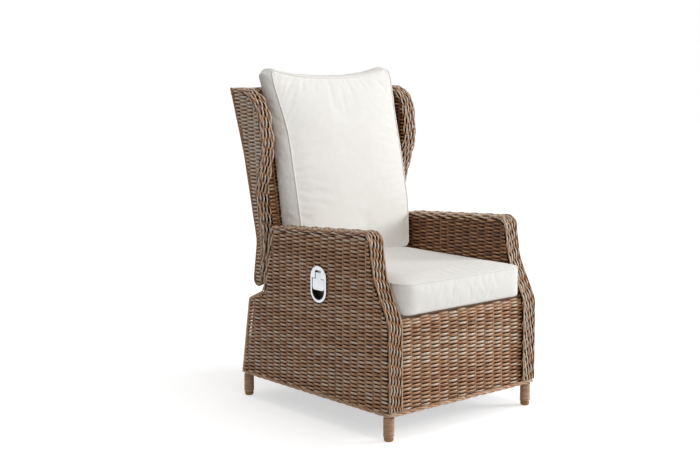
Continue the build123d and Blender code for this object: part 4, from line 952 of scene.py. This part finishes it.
def puff(piece, seams, pressure, cap, slack):
    """Fills a cushion: its cover swells between the seams, which stay where they are."""
    mesh = piece.data
    start = np.array([v.co for v in mesh.vertices])
    held = piece.vertex_groups.new(name="seams")
    near = np.full(len(start), 1.0)
    for seam in seams:
        for point in seam[::2]:
            near = np.minimum(near, np.linalg.norm(start - point, axis=1))
    held.add([int(i) for i in np.flatnonzero(near < VOXEL)], 1.0, "REPLACE")
    cloth = piece.modifiers.new("fill", "CLOTH")
    cloth.settings.quality = 5
    cloth.settings.use_pressure = True
    cloth.settings.uniform_pressure_force = pressure
    cloth.settings.effector_weights.gravity = 0
    cloth.settings.vertex_group_mass = "seams"
    cloth.settings.shrink_min = -slack
    cloth.point_cache.frame_start = 1
    cloth.point_cache.frame_end = CLOTH_FRAMES
    for number in range(1, CLOTH_FRAMES + 1):
        bpy.context.scene.frame_set(number)
    bpy.context.view_layer.objects.active = piece
    bpy.ops.object.modifier_apply(modifier="fill")
    bpy.context.scene.frame_set(1)
    moved = np.array([v.co for v in mesh.vertices]) - start
    length = np.linalg.norm(moved, axis=1, keepdims=True)
    moved = moved * np.minimum(1, cap / np.maximum(length, 1e-9))
    mesh.vertices.foreach_set("co", (start + moved).ravel())
    mesh.update()


def remeshed(piece):
    """An even skin of small faces over a cushion's first shape."""
    bpy.context.view_layer.objects.active = piece
    piece.select_set(True)
    skin = piece.modifiers.new("skin", "REMESH")
    skin.mode = "VOXEL"
    skin.voxel_size = VOXEL
    bpy.ops.object.modifier_apply(modifier="skin")
    soften = piece.modifiers.new("soften", "SMOOTH")
    soften.factor = 0.5
    soften.iterations = 3
    bpy.ops.object.modifier_apply(modifier="soften")
    piece.select_set(False)


def piped(name, piece, seam, body):
    """A tube of cloth along a closed seam, lying on the cushion."""
    surface = BVHTree.FromObject(piece, bpy.context.evaluated_depsgraph_get())
    points = []
    for point in seam:
        place, normal, _, _ = surface.find_nearest(Vector(point))
        points.append(place + normal * PIPING * 0.45)
    curve = bpy.data.curves.new(name, "CURVE")
    curve.dimensions = "3D"
    curve.bevel_depth = PIPING
    curve.bevel_resolution = 3
    spline = curve.splines.new("NURBS")
    spline.points.add(len(points) - 1)
    for control, point in zip(spline.points, points):
        control.co = (*point, 1)
    spline.order_u = 4
    spline.use_cyclic_u = True
    spline.resolution_u = 2
    cord = added(name, curve)
    cord.select_set(True)
    bpy.ops.object.convert(target="MESH")
    bpy.ops.object.shade_smooth()
    cord.select_set(False)
    cord.data.materials.append(cover_cloth.material)
    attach(cord, body)


def finish_cushion(piece, node, body):
    """Smooths a filled cushion and sets it on its body."""
    finer = piece.modifiers.new("finer", "SUBSURF")
    finer.levels = 1
    finer.render_levels = 1
    piece.data.polygons.foreach_set("use_smooth", [True] * len(piece.data.polygons))
    piece.data.materials.clear()
    piece.data.materials.append(cover_cloth.material)
    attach(piece, body)
    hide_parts(node)


seat_low, seat_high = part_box("seat_cushion")
SEAT_CORNER = 0.045
SEAT_EDGE = 0.010
SEAT_UNDER = 0.004
SEAT_TOP = 0.480
SEAT_SIDE = 0.003  # first shape inside the filled one
seat_half = seat_high.x - SEAT_SIDE
seat_front, seat_rear = seat_low.y + 2 * SEAT_SIDE, seat_high.y - 2 * SEAT_SIDE
seat_middle = (0, (seat_front + seat_rear) / 2, (seat_low.z + SEAT_TOP) / 2)
bpy.ops.mesh.primitive_cube_add(size=1, location=seat_middle)
seat = bpy.context.object
seat.name = "seat_pad"
seat.scale = (2 * seat_half, seat_rear - seat_front, SEAT_TOP - seat_low.z)
bpy.ops.object.transform_apply(location=True, scale=True)


def bevel_edges(piece, chosen, offset, segments):
    """Rounds the edges that a test picks by their two ends."""
    bpy.ops.object.mode_set(mode="EDIT")
    bpy.ops.mesh.select_mode(type="EDGE")
    bpy.ops.mesh.select_all(action="DESELECT")
    shape = bmesh.from_edit_mesh(piece.data)
    for edge in shape.edges:
        edge.select_set(chosen(*[v.co for v in edge.verts]))
    shape.select_flush_mode()
    bmesh.update_edit_mesh(piece.data)
    bpy.ops.mesh.bevel(offset=offset, segments=segments, affect="EDGES")
    bpy.ops.object.mode_set(mode="OBJECT")


bevel_edges(seat, lambda a, b: abs(a.z - b.z) > 0.05, SEAT_CORNER, 8)
bevel_edges(seat, lambda a, b: min(a.z, b.z) > SEAT_TOP - 0.001, SEAT_EDGE, 3)
bevel_edges(seat, lambda a, b: max(a.z, b.z) < seat_low.z + 0.001, SEAT_UNDER, 2)
seat.select_set(False)
remeshed(seat)


def seat_seam(z):
    """The line round the seat cushion at the height of a seam."""
    plan = rounded_plan(seat_half, seat_front, seat_rear, SEAT_CORNER, -PLAN_END)
    return np.insert(plan.line[::3], 2, z, axis=1)


top_seam, low_seam = seat_seam(SEAT_TOP - 0.002), seat_seam(seat_low.z + 0.004)
puff(seat, [top_seam, low_seam], pressure=3.0, cap=0.012, slack=0.004)
finish_cushion(seat, "seat_cushion", "base")
piped("seat_piping", seat, top_seam, "base")

# Back cushion: a softer, boxed cushion that leans on the back, with raised corners at its top
# and piping round its front. Its first shape is lofted from side to side and then filled.
CUSHION_FOOT = 0.490
CUSHION_TOP = 1.082
EAR_RISE = 0.032
CUSHION_CORNER = 0.020
CUSHION_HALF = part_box("back_cushion")[1].x - 0.002
SIDE_SWELL = 0.018
CUSHION_ASIDE = 0.004
TOP_SWELL = 0.008
FRONT_FOOT_Y = 0.125
FRONT_SLOPE = 0.226
FRONT_TUCK = 0.014  # of the front's edges behind its middle
FRONT_BOW = 0.008  # of the front's middle height before its foot and top
FRONT_WAIST = 0.019  # of the front's left side, inside the rear's, below the raised corner
FOOT_WAIST = 0.020  # of the front's right side at its foot
CUSHION_GAP = 0.004
REAR_LEAN = 0.010  # of the rear, over the top of the back
EAR_SPREAD = 0.03
FRONT_POINTS = 40
EDGE_POINTS = 6
# Heights, each with the way up or down from it over which a change of the shape comes in
REAR_FADE = (1.065, 0.03)
WAIST_FADE = (1.06, -0.16)
FOOT_FADE = (0.64, -0.14)
EAR_FADE = (0.95, 0.13)
SIDE_FADE = (0.50, 0.15)
RIGHT_LEAST = 0.4  # of the right side's swell, at its foot
pad_x = CUSHION_HALF * np.sin(np.linspace(-pi / 2, pi / 2, 61))


def fade(z, start, way):
    """From 0 at a height to 1 at the end of a way from it."""
    return np.clip((z - start) / way, 0, 1)


def pad_profile(x):
    """The section of the cushion at a place across it: up its front, over, down its rear and under."""
    share = abs(x) / CUSHION_HALF
    inset = max(0.0, abs(x) - CUSHION_HALF + CUSHION_CORNER)
    drop = CUSHION_CORNER - np.sqrt(CUSHION_CORNER**2 - inset**2)
    z = np.linspace(CUSHION_FOOT + drop, CUSHION_TOP + EAR_RISE * share**2.5 - drop, FRONT_POINTS)
    height = 2 * (z - z[0]) / (z[-1] - z[0]) - 1
    crown = (1 - share**3) * (1 - height**6)
    front = FRONT_FOOT_Y + FRONT_TUCK * (1 - crown) + FRONT_SLOPE * (z - CUSHION_FOOT)
    front = front - FRONT_BOW * (1 - height**2)
    rear = front_y_at(z) - CUSHION_GAP + REAR_LEAN * fade(z, *REAR_FADE)
    deep = np.linspace(0, 1, EDGE_POINTS + 2)[1:-1]
    swell = TOP_SWELL * np.sqrt(1 - (2 * deep - 1) ** 2)
    top = np.stack([front[-1] + deep * (rear[-1] - front[-1]), z[-1] + swell], 1)
    under = np.stack([rear[0] + deep * (front[0] - rear[0]), np.full(EDGE_POINTS, z[0])], 1)
    return np.concatenate([np.stack([front, z], 1), top, np.stack([rear, z], 1)[::-1], under])


profiles = [pad_profile(x) for x in pad_x]
ring = len(profiles[0])


def waisted(x, z, number):
    """The X of a profile's point: the front is drawn in on the left, and on the right at its foot."""
    waist = 0.0
    if number < FRONT_POINTS:
        waist = FRONT_WAIST * fade(z, *WAIST_FADE) if x < 0 else FOOT_WAIST * fade(z, *FOOT_FADE)
    return x * (1 - waist / CUSHION_HALF + EAR_SPREAD * fade(z, *EAR_FADE)) + CUSHION_ASIDE


pad_points = [
    (waisted(x, z, number), y, z)
    for x, profile in zip(pad_x, profiles) for number, (y, z) in enumerate(profile)
]

# Each side swells out between its seams, in rings that close in on its middle line
rear_foot = 2 * FRONT_POINTS + EDGE_POINTS - 1
opposite = (rear_foot - np.arange(ring)) % ring
rings = np.array(pad_points).reshape(len(pad_x), ring, 3)
for end, sign in ((0, -1), (-1, 1)):
    edge = rings[end]
    middle = (edge + edge[opposite]) / 2
    fullness = np.maximum(fade(edge[:, 2], *SIDE_FADE), RIGHT_LEAST if sign > 0 else 1)
    swollen = []
    for share in (0.12, 0.35, 0.65, 0.95):
        out = sign * SIDE_SWELL * np.sqrt(1 - (1 - share) ** 2) * fullness
        swollen.append(edge + (middle - edge) * share + np.outer(out, (1, 0, 0)))
    rings = np.concatenate([swollen[::-1], rings] if end == 0 else [rings, swollen])
count = len(rings)
pad_faces = [
    (k * ring + a, k * ring + (a + 1) % ring, (k + 1) * ring + (a + 1) % ring, (k + 1) * ring + a)
    for k in range(count - 1) for a in range(ring)
]
pad_faces += [list(range(ring))[::-1], list(range((count - 1) * ring, count * ring))]
pad_mesh = bpy.data.meshes.new("back_pad")
pad_mesh.from_pydata(rings.reshape(-1, 3).tolist(), [], pad_faces)
pad = added("back_pad", pad_mesh)
remeshed(pad)


def pad_seam(first, last):
    """The seam round a face of the cushion, from the profiles' points at its foot and its top."""
    sections = np.array(pad_points).reshape(len(pad_x), ring, 3)
    step = 1 if last > first else -1
    between = np.arange(first + step, last, step)
    left, right = sections[0, between], sections[-1, between]
    return np.concatenate([sections[:, first], right, sections[::-1, last], left[::-1]])


front_seam = pad_seam(0, FRONT_POINTS - 1)
rear_seam = pad_seam(rear_foot, FRONT_POINTS + EDGE_POINTS)
puff(pad, [front_seam, rear_seam], pressure=3.5, cap=0.014, slack=0.008)
finish_cushion(pad, "back_cushion", "back")
piped("back_piping", pad, front_seam, "back")

# Studio: a white floor that keeps the chair's shadow, a large key light from the right, weaker
#  ones from the front and above, and an even white surround. The floor glows for the camera and in
#  reflections, with painted light: its glow is weaker near the chair, a painted shade round it, and
#  stronger further out, where the lamps fall off.
FLOOR_GLOW = 0.75
SURROUND = 0.38
bpy.ops.mesh.primitive_plane_add(size=30)
floor_plane = bpy.context.object
floor_plane.name = "floor"
floor_white = Finish("floor_white", {
    "Base Color": (0.80, 0.80, 0.80, 1), "Roughness": 0.9,
    "Specular IOR Level": 0.0, "Emission Strength": FLOOR_GLOW,
})
camera_ray = floor_white.node("LightPath", {}, {}, "Is Camera Ray")
seen = camera_ray + floor_white.node("LightPath", {}, {}, "Is Glossy Ray")
floor_place = floor_white.place((0.4, 0.4, 0.4))
apart = floor_white.node("VectorMath", {"operation": "LENGTH"}, {0: floor_place}, "Value")
# painted light: the floor's glow grows from a painted shade near the chair to full strength further out
painted_floor_light = floor_white.ramp(apart, (0.15, (0.75, 0.75, 0.75)), (0.7, (1.0, 1.0, 1.0)))
floor_white.vary(Emission_Color=floor_white.mix(seen, (0, 0, 0, 1), painted_floor_light))
floor_plane.data.materials.append(floor_white.material)

world = bpy.data.worlds.new("surround")
bpy.context.scene.world = world
world.use_nodes = True
tree = world.node_tree
lit_by = tree.nodes["Background"]
shown, rays, either, plain_view = (
    tree.nodes.new("ShaderNode" + kind) for kind in ("Background", "LightPath", "MixShader", "Math")
)
for background, strength in ((lit_by, SURROUND), (shown, 1.0)):
    background.inputs["Color"].default_value = (1, 1, 1, 1)
    background.inputs["Strength"].default_value = strength
plain_view.operation = "MAXIMUM"
for number, kind in enumerate(("Is Camera Ray", "Is Glossy Ray")):
    tree.links.new(rays.outputs[kind], plain_view.inputs[number])
for number, source in enumerate((plain_view, lit_by, shown)):
    tree.links.new(source.outputs[0], either.inputs[number])
tree.links.new(either.outputs[0], tree.nodes["World Output"].inputs["Surface"])


def soft_light(name, place, aim, size, power):
    """A square soft light that looks at a point."""
    lamp = bpy.data.lights.new(name, "AREA")
    lamp.size = size
    lamp.energy = power
    holder = added(name, lamp)
    holder.location = place
    holder.rotation_euler = (Vector(aim) - Vector(place)).to_track_quat("-Z", "Y").to_euler()


soft_light("key", (3.4, -2.3, 1.7), (0, 0, 0.5), 1.3, 92)
soft_light("front", (-0.6, -4.3, 1.8), (0, 0, 0.5), 2.4, 31)
soft_light("overhead", (0.2, -0.6, 3.3), (0, 0, 0.4), 2.2, 24)

CAMERA_PLACE = (-2.8595, -3.1116, 1.1705)
CAMERA_YAW = radians(40.973)
CAMERA_PITCH = radians(-8.088)
CAMERA_LENS = 65.716
camera = added("camera", bpy.data.cameras.new("camera"))
camera.location = CAMERA_PLACE
camera.rotation_euler = (pi / 2 + CAMERA_PITCH, 0, -CAMERA_YAW)
camera.data.lens = CAMERA_LENS
camera.data.sensor_width = 36.0
bpy.context.scene.camera = camera
bpy.context.scene.view_settings.view_transform = "Standard"
